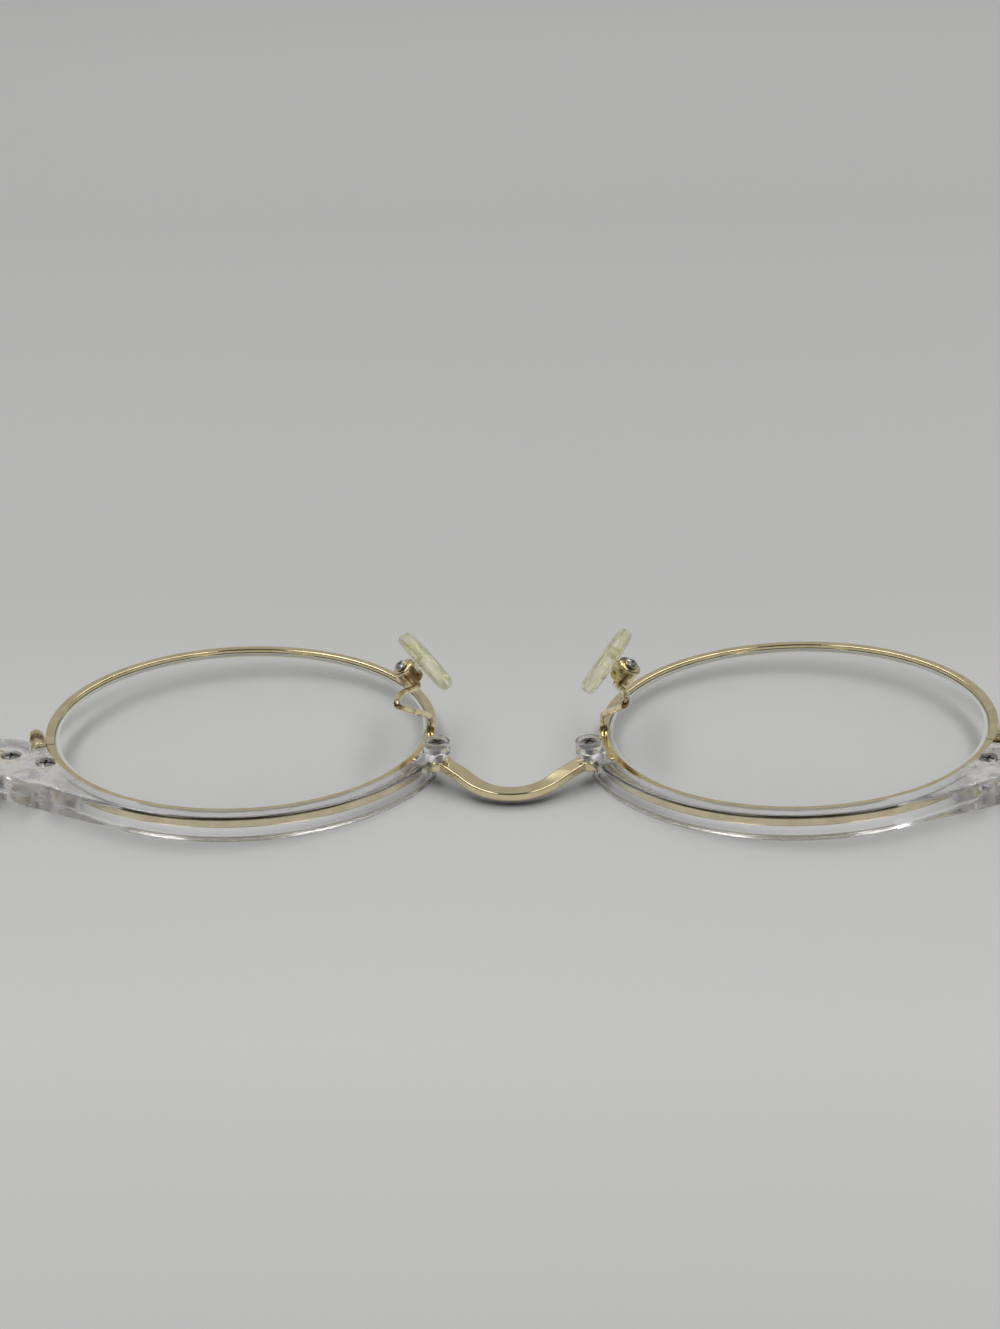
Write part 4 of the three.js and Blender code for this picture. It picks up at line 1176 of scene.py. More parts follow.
def lug_blanks(grow, edge):
    """The disc and the foot of the bridge's lug, or the room for them."""
    low, high, half = LUG_TOP - BRIDGE_DEPTH - grow, LUG_TOP + grow, LUG_FOOT_HALF + grow
    lap = 0 if grow else OVERLAP
    disc = drum("lug", LUG_RADIUS + grow, low, high, edge)
    foot = block("foot", (-LUG_OUT - RUN_IN - grow, -half, low + lap), (0, half, high - lap), edge)
    foot = placed(foot, Matrix.Rotation(radians(LUG_ANGLE - 90), 4, "Z"))
    return [placed(part, Matrix.Translation(on_ring(LUG_PITCH, LUG_ANGLE))) for part in (disc, foot)]


def brow_mesh():
    bar, tongue = skin("brow", brow_rows), skin("tongue", tongue_sections())
    boss = drum("boss", BOSS_RADIUS, OVERLAP - BOSS_RISE - TONGUE_DEPTH, 0, BOSS_EDGE)
    boss = placed(boss, Matrix.Translation(on_ring(LUG_PITCH, LUG_ANGLE, BOSS_BACK)))
    outline = closing_outline(FIT, CLOSING_WIDTH)
    pocket = placed(pushed("pocket", outline, -2 * CLOSING_LOWER, CLOSING_UPPER + FIT), CLOSING_AXES)
    lug_room = lug_blanks(FIT, 0)
    milled = [
        pocket,
        rim_tab(FIT),
        screw_seat(inner_screw, brow_screw_length),
        screw_seat(outer_screw, brow_screw_length),
        screw_seat(nose_screw, nose_screw_length),
    ]
    for part in (bar, tongue, boss, *lug_room):
        part.materials.append(CLEAR)
    for part in milled:
        part.materials.append(SAWN)
    return combined(combined(bar, "UNION", tongue, boss), "DIFFERENCE", *lug_room, *milled)


brow = brow_mesh()
print("brow", len(brow.polygons), "faces")

# %% [markdown]
# ## Painted reflection, painted shade and frost
#
# Three values are stored on the brow's points for its finish. The painted reflection is a dark line on
# the rounded edge between the bar's back and its outside, painted in place of the dark room that such an
# edge mirrors. The painted shade is an olive tone on the two rounded edges along its foot, for the shade
# in the gap under the bar. The frost begins where the bar turns into the end piece.

# %% Painted reflection, painted shade and frost
# where the painted dark reflection lies on the bar's upper edge
PAINTED_REFLECTION_LEAN = 36
PAINTED_REFLECTION_HALF = (3, 22)
PAINTED_REFLECTION_SOFT = 9
PAINTED_REFLECTION_FADE = (18, 48)
PAINTED_REFLECTION_STOP = 6
# where the painted olive shade lies on the bar's foot
PAINTED_SHADE_LEAN = (18, 40)
FROST_STRETCH = (-6, -1)
FROST_LEVEL = (-0.6, 0.6)
FROST_LEAST = 0.2


def mark(mesh, name, measure):
    """Stores a value from 0 to 1 at every point of a mesh."""
    values = [float(measure(np.array(vertex.co))) for vertex in mesh.vertices]
    mesh.attributes.new(name, "FLOAT", "POINT").data.foreach_set("value", values)


def painted_reflection_at(spot):
    """Painted dark reflection on the rounded edge between the bar's back and its outside, fading towards
    both ends.
    """
    turn = degrees(np.arctan2(spot[0], -spot[1]))
    out = np.hypot(spot[0], spot[1]) - BROW_OUTER + BROW_ROUND
    up = spot[2] - BROW_PROUD + BROW_ROUND
    if not BROW_NOSE_ANGLE + PAINTED_REFLECTION_STOP < turn < END_SLOPE or out < 0:
        return 0
    lean = degrees(np.arctan2(up, out))
    half = mix(*PAINTED_REFLECTION_HALF, 1 - ease(abs(turn), *PAINTED_REFLECTION_FADE))
    return 1 - ease(abs(lean - PAINTED_REFLECTION_LEAN), half, half + PAINTED_REFLECTION_SOFT)


def painted_shade_at(spot):
    """Painted olive shade on the two rounded edges along the bar's foot."""
    turn = degrees(np.arctan2(spot[0], -spot[1]))
    reach, low = np.hypot(spot[0], spot[1]), BROW_FRONT + BROW_ROUND - spot[2]
    side = max(reach - BROW_OUTER, BROW_INNER - reach) + BROW_ROUND
    if not BROW_NOSE_ANGLE < turn < END_SLOPE or side < 0 or low < 0:
        return 0
    return ease(degrees(np.arctan2(low, side)), *PAINTED_SHADE_LEAN)


def frost_at(spot):
    """Rises from the bar to the end piece, and up its sides."""
    start, full = (end_place[0] + offset for offset in FROST_STRETCH)
    return ease(spot[0], start, full) * mix(FROST_LEAST, 1, ease(spot[2], *FROST_LEVEL))


# stores the painted reflection, the painted shade and the frost on the brow's points
for value, measure in (("crease", painted_reflection_at), ("lip", painted_shade_at), ("frost", frost_at)):
    mark(brow, value, measure)
for side, sign in SIDES.items():
    add_piece(f"{side}_clear_brow", brow, eye_axes(sign), "front", [f"{side}_brow"])

# %% [markdown]
# ## Bridge
#
# The bridge is a flat gold bar bent into an arch, with a round lug at each end under the brow's tongue.
# The bar's back edges are sharper than its front ones, so light breaks at them into the strips of the
# photograph. The arch is a smooth curve through a few places of a half, mirrored.

# %% Bridge
BRIDGE_HEIGHT = 2.1
BRIDGE_RISE = 5.8
BRIDGE_SET = 1.45
BRIDGE_SHARES = [(1, 0), (0.78, 0.31), (0.5, 0.735), (0.25, 0.94), (0, 1)]
BRIDGE_START = (-0.6, -0.4, 0)
BRIDGE_EDGES = [0.45, 0.5, 0.34, 0.2]
BRIDGE_EDGE_STEPS = 7
BRIDGE_ROWS = 97
LUG_EDGE = 0.18
CURVE_STEPS = 25


def smooth_path(points, count):
    """Even places along a centripetal Catmull-Rom curve through the points."""
    points = [np.asarray(point, float) for point in points]
    ends = [2 * points[0] - points[1], *points, 2 * points[-1] - points[-2]]
    fine = [points[0]]
    for a, b, c, d in zip(ends, ends[1:], ends[2:], ends[3:]):
        before, span, after = (sqrt(np.linalg.norm(q - p)) for p, q in ((a, b), (b, c), (c, d)))
        leave = ((b - a) / before - (c - a) / (before + span) + (c - b) / span) * span
        arrive = ((c - b) / span - (d - b) / (span + after) + (d - c) / after) * span
        for t in np.linspace(0, 1, CURVE_STEPS)[1:]:
            fine.append(
                b * (2 * t**3 - 3 * t**2 + 1) + leave * (t**3 - 2 * t**2 + t)
                + c * (3 * t**2 - 2 * t**3) + arrive * (t**3 - t**2))
    return spaced(fine, count)


def bridge_mesh():
    to_front = FRONT.inverted() @ eye_axes(1)
    lug_middle = np.array(to_front @ Vector(on_ring(LUG_PITCH, LUG_ANGLE, LUG_TOP - BRIDGE_DEPTH / 2)))
    start = lug_middle + LUG_RADIUS * np.array(BRIDGE_START)
    crown = lug_middle[1] - BRIDGE_RISE
    half = [
        np.array([start[0] * out, mix(start[1], crown, rise), start[2] - BRIDGE_SET * rise])
        for out, rise in BRIDGE_SHARES]
    other = [point * (-1, 1, 1) for point in half[-2::-1]]
    path = smooth_path([*half, *other], BRIDGE_ROWS)
    high, deep = BRIDGE_HEIGHT / 2, BRIDGE_DEPTH / 2
    corners = [(-high, -deep), (high, -deep), (high, deep), (-high, deep)]
    section = rounded(corners, BRIDGE_EDGES, BRIDGE_EDGE_STEPS)
    rows = []
    for place, run in zip(path, np.gradient(path, axis=0)):
        across = unit(np.array([run[1], -run[0], 0]))
        rows.append(place + section[:, :1] * across + section[:, 1:] * (0, 0, 1))
    bar = skin("bridge", rows)
    lugs = []
    for sign in (1, -1):
        mirror = Matrix.Diagonal((sign, 1, 1, 1)) @ to_front
        lugs += [placed(part, mirror) for part in lug_blanks(0, LUG_EDGE)]
    return combined(bar, "UNION", *lugs)


add_piece("arched_bridge", bridge_mesh(), FRONT, "front", ["bridge"], [GOLD])

# %% [markdown]
# ## Wire along a path
#
# The pad arms are wires that follow a path, so Geometry Nodes make them: a chain of points becomes a curve,
# and a circle is swept along it. A value stored on the points swells the wire. The helpers that open, close
# and run such a tree serve the screws as well.

# %% Wire along a path
PAD_THICKNESS = 1.9
PAD_IN = 1.2
PAD_DOWN = 2.14
PAD_BACK = 7.92
PAD_FRONTAL = 14
PAD_SPLAY = 37
PAD_BOX_RADIUS = 1.5
PAD_BOX_LENGTH = 2.5
PAD_BOX_UP = 0.4
ARM_RADIUS = 0.36
ARM_FOOT = -0.7
ARM_LOOP = (3.15, -8.9, 7.35)
ARM_SHARES = [(0, 0, 0.13), (0.05, 0.21, 0.38), (0.52, 0.6, 0.68)]
ARM_RETURN = 0.3
ARM_TAIL = 0.4
ARM_STEPS = 110
ARM_SIDES = 24
ARM_SWELL = 1.08
FOOT_SWELL, FOOT_SPREAD = 1.0, 0.75
BOX_SWELL, BOX_SPREAD = 0.5, 0.6


def node_group(name, sizes):
    """A Geometry Nodes tree with named sizes. Returns the group, its tree and its inputs by name."""
    group = bpy.data.node_groups.new(name, "GeometryNodeTree")
    kinds = {"Geometry": "Geometry", **{size: "Float" for size in sizes}, "Finish": "Material"}
    group.interface.new_socket(name="Geometry", in_out="OUTPUT", socket_type="NodeSocketGeometry")
    for label, kind in kinds.items():
        group.interface.new_socket(name=label, in_out="INPUT", socket_type=f"NodeSocket{kind}")
    tree = Tree(group)
    return group, tree, dict(zip(kinds, tree.add("NodeGroupInput", output=None)))


def close_group(tree, geometry, finish):
    """Ends a tree: instances become mesh and get their finish."""
    real = tree.add("GeometryNodeRealizeInstances", {}, {"Geometry": geometry})
    dressed = tree.add("GeometryNodeSetMaterial", {}, {"Geometry": real, "Material": finish})
    tree.add("NodeGroupOutput", {}, {"Geometry": dressed})


def baked(name, mesh, group, sizes):
    """Runs a tree on a mesh and returns what it makes as a plain mesh."""
    holder = bpy.data.objects.new(name, mesh)
    scene.collection.objects.link(holder)
    modifier = holder.modifiers.new(name, "NODES")
    modifier.node_group = group
    for item in group.interface.items_tree:
        if item.in_out == "INPUT" and item.name in sizes:
            modifier[item.identifier] = sizes[item.name]
    graph = bpy.context.evaluated_depsgraph_get()
    result = bpy.data.meshes.new_from_object(holder.evaluated_get(graph))
    bpy.data.objects.remove(holder)
    return result


def wire_group():
    """Sweeps a circle along every chain of edges, swollen by the points' own thickness."""
    group, tree, given = node_group("wire_along_path", ["Wire radius"])
    curve = tree.add("GeometryNodeMeshToCurve", {}, {"Mesh": given["Geometry"]})
    outline = {"Resolution": ARM_SIDES, "Radius": given["Wire radius"]}
    circle = tree.add("GeometryNodeCurvePrimitiveCircle", {}, outline)
    swell = tree.add("GeometryNodeInputNamedAttribute", {"data_type": "FLOAT"}, {"Name": "thickness"})
    values = {"Curve": curve, "Profile Curve": circle, "Scale": swell, "Fill Caps": True}
    tube = tree.add("GeometryNodeCurveToMesh", {}, values)
    smooth = tree.add("GeometryNodeSetShadeSmooth", {}, {"Geometry": tube})
    close_group(tree, smooth, given["Finish"])
    return group


WIRE = wire_group()
print("wire tree", len(WIRE.nodes), "nodes")

# %% [markdown]
# ## Pad arms
#
# A pad arm leaves the back of the rim, runs up towards the brow in a goose neck, turns and ends under the
# pad's box. It is thicker at its foot, where the solder ran up it, and at the box. Both arms are one mesh,
# because both stay on the front.

# %% Pad arms
pad_away = unit(np.array([1, -tan(radians(PAD_FRONTAL)), -tan(radians(PAD_SPLAY))]))
pad_down = unit(np.array([tan(radians(PAD_FRONTAL)), 1, 0]))
pad_across = np.cross(pad_away, pad_down)
pad_middle = np.array([PAD_IN - RIM_OUTER, PAD_DOWN, PAD_BACK])
pad_to_box = PAD_BOX_RADIUS + FIT + PAD_THICKNESS / 2
pad_box_place = pad_middle + pad_away * pad_to_box + pad_across * PAD_BOX_UP


def arm_path():
    """Places along one arm, from inside the rim to inside the box."""
    foot = np.array([-RIM_INNER - RIM_WALL / 2, ARM_FOOT, SOLDER])
    loop = foot + ARM_LOOP
    rise = [mix(foot, loop, np.array(shares)) for shares in ARM_SHARES]
    end = pad_box_place - pad_across * (PAD_BOX_LENGTH / 2 + 2 * SOLDER + ARM_RADIUS)
    turn = end - pad_down * 2 * ARM_RADIUS
    after = mix(loop, turn, ARM_RETURN) + pad_across * 2 * ARM_RADIUS
    path = smooth_path([foot, *rise, loop, after, turn, end], ARM_STEPS)
    return np.concatenate([[foot - (0, 0, ARM_TAIL)], path, [end + pad_across * ARM_TAIL]])


def arm_lines():
    """Both arms as chains of edges in metres, with their thickness."""
    path = arm_path()
    count = len(path)
    from_foot = np.linalg.norm(path - path[0], axis=1)
    from_end = np.linalg.norm(path - path[-1], axis=1)
    at_foot = FOOT_SWELL * np.exp(-((from_foot / FOOT_SPREAD) ** 2))
    at_box = BOX_SWELL * np.exp(-((from_end / BOX_SPREAD) ** 2))
    swell = ARM_SWELL + at_foot + at_box
    points, edges = [], []
    for sign in SIDES.values():
        edges += [(len(points) + i, len(points) + i + 1) for i in range(count - 1)]
        points += [eye_axes(sign) @ Vector(place) for place in path]
    mesh = bpy.data.meshes.new("arm_lines")
    mesh.from_pydata(points, edges, [])
    thickness = mesh.attributes.new("thickness", "FLOAT", "POINT")
    thickness.data.foreach_set("value", np.tile(swell, len(SIDES)))
    return mesh


def outwards(mesh):
    """Turns the faces of a baked mesh outwards."""
    shape = bmesh.new()
    shape.from_mesh(mesh)
    bmesh.ops.recalc_face_normals(shape, faces=shape.faces)
    shape.to_mesh(mesh)
    shape.free()
    return mesh


wire_sizes = {"Wire radius": ARM_RADIUS * MM, "Finish": GOLD_WITH_PAINTED_STREAKS}
arms = outwards(baked("pad_arm_wires", arm_lines(), WIRE, wire_sizes))
arm_nodes = [f"{side}_pad_arm" for side in SIDES]
add_piece("pad_arm_wires", arms, Matrix.Identity(4), "front", arm_nodes)

# %% [markdown]
# ## Pad boxes, tangs and pads
#
# The box is a short gold drum, slotted so that the pad's tang can swing in it. A screw through the drum
# is the axle. The pad is an egg of soft clear plastic with a round rim. It is skinned over rings whose
# depth and size follow one smooth curve. The tang is moulded of the same plastic and runs into the pad.

# %% Pad boxes, tangs and pads
PAD_LENGTH = 13.6
PAD_WIDTH = 7.6
PAD_BOX_WALL = 0.65
PAD_STEM_HEIGHT = 1.3
PAD_STEM_SINK = 0.9
PAD_SLOT_REACH = 1.2
PAD_TURN = {"left": 0, "right": -10}
PAD_EGG = 0.08
PAD_LAYERS = [
    (0.02, 0.02), (0.0, 0.6), (0.0, 0.86), (0.13, 0.97), (0.45, 1),
    (0.78, 0.97), (0.95, 0.86), (1, 0.6), (1.0, 0.02)]
PAD_RINGS = 30
PAD_SIDES = 72
PAD_BOX_EDGE = 0.22
PAD_BOX_SIDES = 48
TANG_EDGE = 0.14


def pad_axes(sign):
    """Axes at a pad's box: x away from the nose, y down the pad, z across it."""
    turn = Matrix([pad_away, pad_down, pad_across]).transposed().to_4x4()
    return eye_axes(sign) @ Matrix.Translation(pad_box_place) @ turn


def pad_box_mesh():
    half = PAD_BOX_LENGTH / 2
    slot_half = half - PAD_BOX_WALL
    low = (-2 * PAD_BOX_RADIUS, -PAD_SLOT_REACH, -slot_half)
    slot = block("slot", low, (PAD_STEM_HEIGHT / 2, PAD_SLOT_REACH, slot_half), 0)
    box = drum("box", PAD_BOX_RADIUS, -half, half, PAD_BOX_EDGE, PAD_BOX_SIDES)
    return combined(box, "DIFFERENCE", slot)


def pad_mesh():
    back = -PAD_BOX_RADIUS - FIT
    layers = smooth_path([(depth, share * 2) for depth, share in PAD_LAYERS], PAD_RINGS)
    turns = np.linspace(0, 2 * pi, PAD_SIDES, endpoint=False)
    rows = []
    for depth, share in layers:
        size = share / 2
        down = PAD_LENGTH / 2 * size * np.cos(turns)
        across = PAD_WIDTH / 2 * size * (1 + PAD_EGG * np.cos(turns)) * np.sin(turns) - PAD_BOX_UP
        rows.append(np.column_stack([np.full(len(turns), back - depth * PAD_THICKNESS), down, across]))
    return skin("pad", rows)


def tang_mesh():
    half = PAD_BOX_LENGTH / 2 - PAD_BOX_WALL - FIT / 2
    sunk = PAD_BOX_RADIUS + FIT + PAD_STEM_SINK
    high = PAD_STEM_HEIGHT / 2
    return block("tang", (-sunk, -high, -half), (high - FIT, high, half), TANG_EDGE)


pad_box, pad, tang = pad_box_mesh(), pad_mesh(), tang_mesh()
for side, sign in SIDES.items():
    axes = pad_axes(sign)
    rocked = axes @ Matrix.Rotation(radians(PAD_TURN[side]), 4, "Z")
    add_piece(f"{side}_pad_housing", pad_box, axes, "front", [f"{side}_pad_box"], [GOLD_WITH_PAINTED_STREAKS])
    add_piece(f"{side}_pad_tang", tang, rocked, f"{side}_pad", [f"{side}_pad_stem"], [PAD])
    add_piece(f"{side}_soft_pad", pad, rocked, f"{side}_pad", [f"{side}_nose_pad"], [PAD])

# %% [markdown]
# ## Hinges
#
# A five-knuckle hinge joins each temple to its end piece. Three knuckles stand on a plate that is sunk in
# the end piece, and two belong to a leaf in the temple. The knuckles are drums with soft rims and a web
# that runs into the plate or the leaf.

# %% Hinges
RUNNING = 0.1
BARREL_RADIUS = 1.2
BARREL_RISE = 1.8
KNUCKLES = 5
KNUCKLE_WIDTH = 0.9
HINGE_PLATE = 1.0
HINGE_PLATE_MARGIN = 1.0
HINGE_PLATE_LEVEL = -0.75
LEAF_THICKNESS = 0.9
LEAF_LENGTH = 9
LEAF_HEIGHT = 4.4
TEMPLE_THICKNESS = 3.2
TEMPLE_ROOT = 6.6
BUTT_GAP = 0.3
KNUCKLE_EDGE = 0.08
KNUCKLE_SIDES = 40
WEB_INSET = 0.03
WEB_EDGE = 0.06
PLATE_WEB = (0.05, 0.1)
PLATE_ROUND = 0.3
PLATE_EDGE = 0.1
LEAF_EDGE = 0.15
hinge_x = end_tip - TEMPLE_THICKNESS - BARREL_RADIUS - FIT
hinge_axis = np.array([hinge_x, (end_top(hinge_x) + end_bottom) / 2, END_BACK + BARREL_RISE])
knuckle_pitch = KNUCKLE_WIDTH + RUNNING
barrel_half = (KNUCKLES * knuckle_pitch - RUNNING) / 2
temple_face = BARREL_RADIUS + FIT
temple_drop = end_bottom - TEMPLE_ROOT / 2 - hinge_axis[1]
leaf_middle = temple_drop / 2 + KNUCKLE_WIDTH / 4


def knuckle(number, web_low, web_high):
    """One knuckle about the hinge's axis, with a web between two corners given as x and z."""
    low = -barrel_half + number * knuckle_pitch
    high = low + KNUCKLE_WIDTH
    barrel = drum("knuckle", BARREL_RADIUS, -high, -low, KNUCKLE_EDGE, KNUCKLE_SIDES)
    barrel = placed(barrel, Matrix.Rotation(pi / 2, 4, "X"))
    first = (web_low[0], low + WEB_INSET, web_low[1])
    last = (web_high[0], high - WEB_INSET, web_high[1])
    return combined(barrel, "UNION", block("web", first, last, WEB_EDGE))


def hinge_plate_mesh():
    left, right = outer_screw[0] - SCREW_HEAD, hinge_axis[0] + BARREL_RADIUS
    root, narrow = hinge_axis[0] - BARREL_RADIUS, outer_screw[0] + SCREW_SHANK
    above, below = outer_screw[1] - SCREW_HEAD, outer_screw[1] + SCREW_HEAD
    root_top, right_top = (
        min(end_top(x) + HINGE_PLATE_MARGIN, hinge_axis[1] - barrel_half) for x in (root, right))
    bottom = hinge_axis[1] + barrel_half
    corners = [
        (left, above), (narrow, above), (root, root_top), (right, right_top),
        (right, bottom), (root, bottom), (narrow, below), (left, below)]
    back = HINGE_PLATE_LEVEL + HINGE_PLATE
    plate = pushed("plate", rounded(corners, PLATE_ROUND), HINGE_PLATE_LEVEL, back, PLATE_EDGE)
    foot = back - hinge_axis[2] - HINGE_PLATE / 2
    inset, head = PLATE_WEB
    knuckles = []
    for number in range(0, KNUCKLES, 2):
        part = knuckle(number, (inset - BARREL_RADIUS, foot), (BARREL_RADIUS - inset, head))
        knuckles.append(placed(part, Matrix.Translation(hinge_axis)))
    return combined(plate, "UNION", *knuckles)


def hinge_leaf_mesh():
    top = BUTT_GAP - BARREL_RISE + FIT
    low = (temple_face + SOLDER, leaf_middle - LEAF_HEIGHT / 2, top)
    high = (temple_face + LEAF_THICKNESS, leaf_middle + LEAF_HEIGHT / 2, LEAF_LENGTH)
    leaf = block("leaf", low, high, LEAF_EDGE)
    knuckles = [
        knuckle(number, (0, -BARREL_RADIUS), (temple_face + LEAF_THICKNESS / 2, BARREL_RADIUS))
        for number in range(1, KNUCKLES, 2)]
    return combined(leaf, "UNION", *knuckles)


def temple_axes(sign):
    """Axes at a hinge: y is the hinge's axis and z runs up the open temple."""
    turn = Matrix.Rotation(radians(WRAP_ANGLE), 4, "Y")
    return eye_axes(sign) @ Matrix.Translation(hinge_axis) @ turn


plate, leaf = hinge_plate_mesh(), hinge_leaf_mesh()
for side, sign in SIDES.items():
    body = f"{side}_temple"
    add_piece(f"{side}_hinge_plate", plate, eye_axes(sign), "front", [f"{side}_hinge_front"], [GOLD])
    add_piece(f"{side}_hinge_tongue", leaf, temple_axes(sign), body, [f"{side}_hinge_leaf"], [GOLD])

# %% [markdown]
# ## Temples
#
# The temples are clear acetate bars with a flat gold wire inside. They run back from the hinge, slim
# towards the ear, bend down behind it and end in a broader rounded tip. The bar is skinned over sections
# along that bend. The wire lies inside the acetate with no hollow round it, as it does when acetate is
# moulded on a wire.

# %% Temples
TEMPLE_WAIST = 4.8
TEMPLE_TIP = 6.2
TEMPLE_LENGTH = 145
TEMPLE_ROUND = 0.9
TEMPLE_TILT = 8
TEMPLE_BEND_AT = 98
TEMPLE_BEND = 38
TEMPLE_BEND_RADIUS = 24
CORE_THICKNESS = 1.0
CORE_HEIGHT = 1.7
CORE_END = 16
CORE_LAP = 0.6
CORE_SLIM = 0.7
CORE_EDGE = 0.3
CORE_ROWS = 90
BUTT_EDGE = 0.25
BUTT_STEPS = (0, 0.04, 0.12, 0.25)
TEMPLE_START = 0.8
TEMPLE_ROWS = 110
TEMPLE_SLIM_BY = 0.8
TIP_ROWS = 12
TIP_LEAST = 0.12
TIP_THIN = 0.45
TIP_REACH = 0.46
TIP_EDGE = 2.3
SECTION_STEPS = 6
SECTION_HOLD = 0.25


def temple_point(along):
    """Middle of the temple at a length from the hinge, as y, z and its angle."""
    tilt, bend = radians(TEMPLE_TILT), radians(TEMPLE_BEND)
    straight = min(along, TEMPLE_BEND_AT)
    turned = min(max((along - TEMPLE_BEND_AT) / TEMPLE_BEND_RADIUS, 0), bend)
    rest = max(along - TEMPLE_BEND_AT - bend * TEMPLE_BEND_RADIUS, 0)
    angle = tilt + turned
    y = straight * sin(tilt) + TEMPLE_BEND_RADIUS * (cos(tilt) - cos(angle)) + rest * sin(angle)
    z = straight * cos(tilt) + TEMPLE_BEND_RADIUS * (sin(angle) - sin(tilt)) + rest * cos(angle)
    return temple_drop + y, z, angle


def temple_section(along, middle, thickness, height, edge, square):
    """Rounded section of the temple or its core, square to its run by that share."""
    y, z, angle = temple_point(along)
    angle *= square
    half, high = thickness / 2, height / 2
    corners = [(-half, -high), (half, -high), (half, high), (-half, high)]
    across, up = rounded(corners, edge, SECTION_STEPS, SECTION_HOLD).T
    return np.column_stack([middle + across, y + up * cos(angle), z - up * sin(angle)])


def temple_mesh():
    butt = BUTT_GAP - BARREL_RISE
    middle = temple_face + TEMPLE_THICKNESS / 2
    run = np.linspace(butt + TEMPLE_START, TEMPLE_LENGTH, TEMPLE_ROWS)
    rows = []
    for along in (*(butt + step for step in BUTT_STEPS), *run):
        slim = mix(TEMPLE_ROOT, TEMPLE_WAIST, ease(along, 0, TEMPLE_BEND_AT * TEMPLE_SLIM_BY))
        height = mix(slim, TEMPLE_TIP, ease(along, TEMPLE_BEND_AT, TEMPLE_LENGTH))
        left = (along - butt) / BUTT_EDGE
        inset = BUTT_EDGE * (1 - sqrt(1 - (1 - left) ** 2)) if left < 1 else 0
        square = ease(along, butt, TEMPLE_ROOT * 2)
        thick, edge = TEMPLE_THICKNESS - 2 * inset, TEMPLE_ROUND - inset / 2
        rows.append(temple_section(along, middle, thick, height - 2 * inset, edge, square))
    for turn in np.linspace(0, pi / 2, TIP_ROWS)[1:]:
        share = max(cos(turn), TIP_LEAST)
        thick, height = TEMPLE_THICKNESS * mix(TIP_THIN, 1, share), TEMPLE_TIP * share
        edge = min(TEMPLE_ROUND, thick / TIP_EDGE, height / TIP_EDGE)
        along = TEMPLE_LENGTH + TIP_REACH * TEMPLE_TIP * sin(turn)
        rows.append(temple_section(along, middle, thick, height, edge, 1))
    return skin("temple", rows)


def core_mesh():
    start, end = LEAF_LENGTH - CORE_LAP, TEMPLE_LENGTH - CORE_END
    middle = temple_face + LEAF_THICKNESS / 2 + CORE_THICKNESS / 2
    rows = []
    for share in np.linspace(0, 1, CORE_ROWS):
        along = mix(start, end, share)
        height, square = CORE_HEIGHT * mix(1, CORE_SLIM, share), ease(along, 0, TEMPLE_ROOT * 2)
        rows.append(temple_section(along, middle, CORE_THICKNESS, height, CORE_EDGE, square))
    return skin("core", rows)


temple, core = temple_mesh(), core_mesh()
for side, sign in SIDES.items():
    body, axes = f"{side}_temple", temple_axes(sign)
    add_piece(f"{side}_clear_temple", temple, axes, body, [f"{side}_temple"], [CLEAR])
    add_piece(f"{side}_temple_wire", core, axes, body, [f"{side}_temple_core"], [GOLD])

# %% [markdown]
# ## Screws
#
# Twelve screws hold the glasses together, with heads of two sizes. They repeat, and a thread follows a
# rule, so Geometry Nodes make them. A flat grid is rolled up: one direction runs down the screw's
# profile, the other round it. The radius rises and falls along the profile to make the domed head and the
# shank, and a wave that shifts by one pitch per turn adds the thread. Two bars cut the cross, one a
# little deeper, so that their floors do not lie in one plane. The finished screw is set on every point,
# turned to the axis stored there and by a random angle with a fixed seed, as screws end up when they are
# tight.

# %% Screw tree
SCREW_ROWS = 190
SCREW_COLUMNS = 41
PROFILE_STOPS = (0, 0.14, 0.18, 0.24, 0.29, 0.96, 1)
HEAD_EDGE = 0.18
HEAD_DOME = 0.18
THREAD_START = (0.04, 0.12)
THREAD_END = (0.94, 1.0)
THREAD_DEPTH = 0.36
RECESS_REACH = 1.24
RECESS_FLOORS = (2, 2.1)
SCREW_WELD = 1e-3
SCREW_SEED = 7


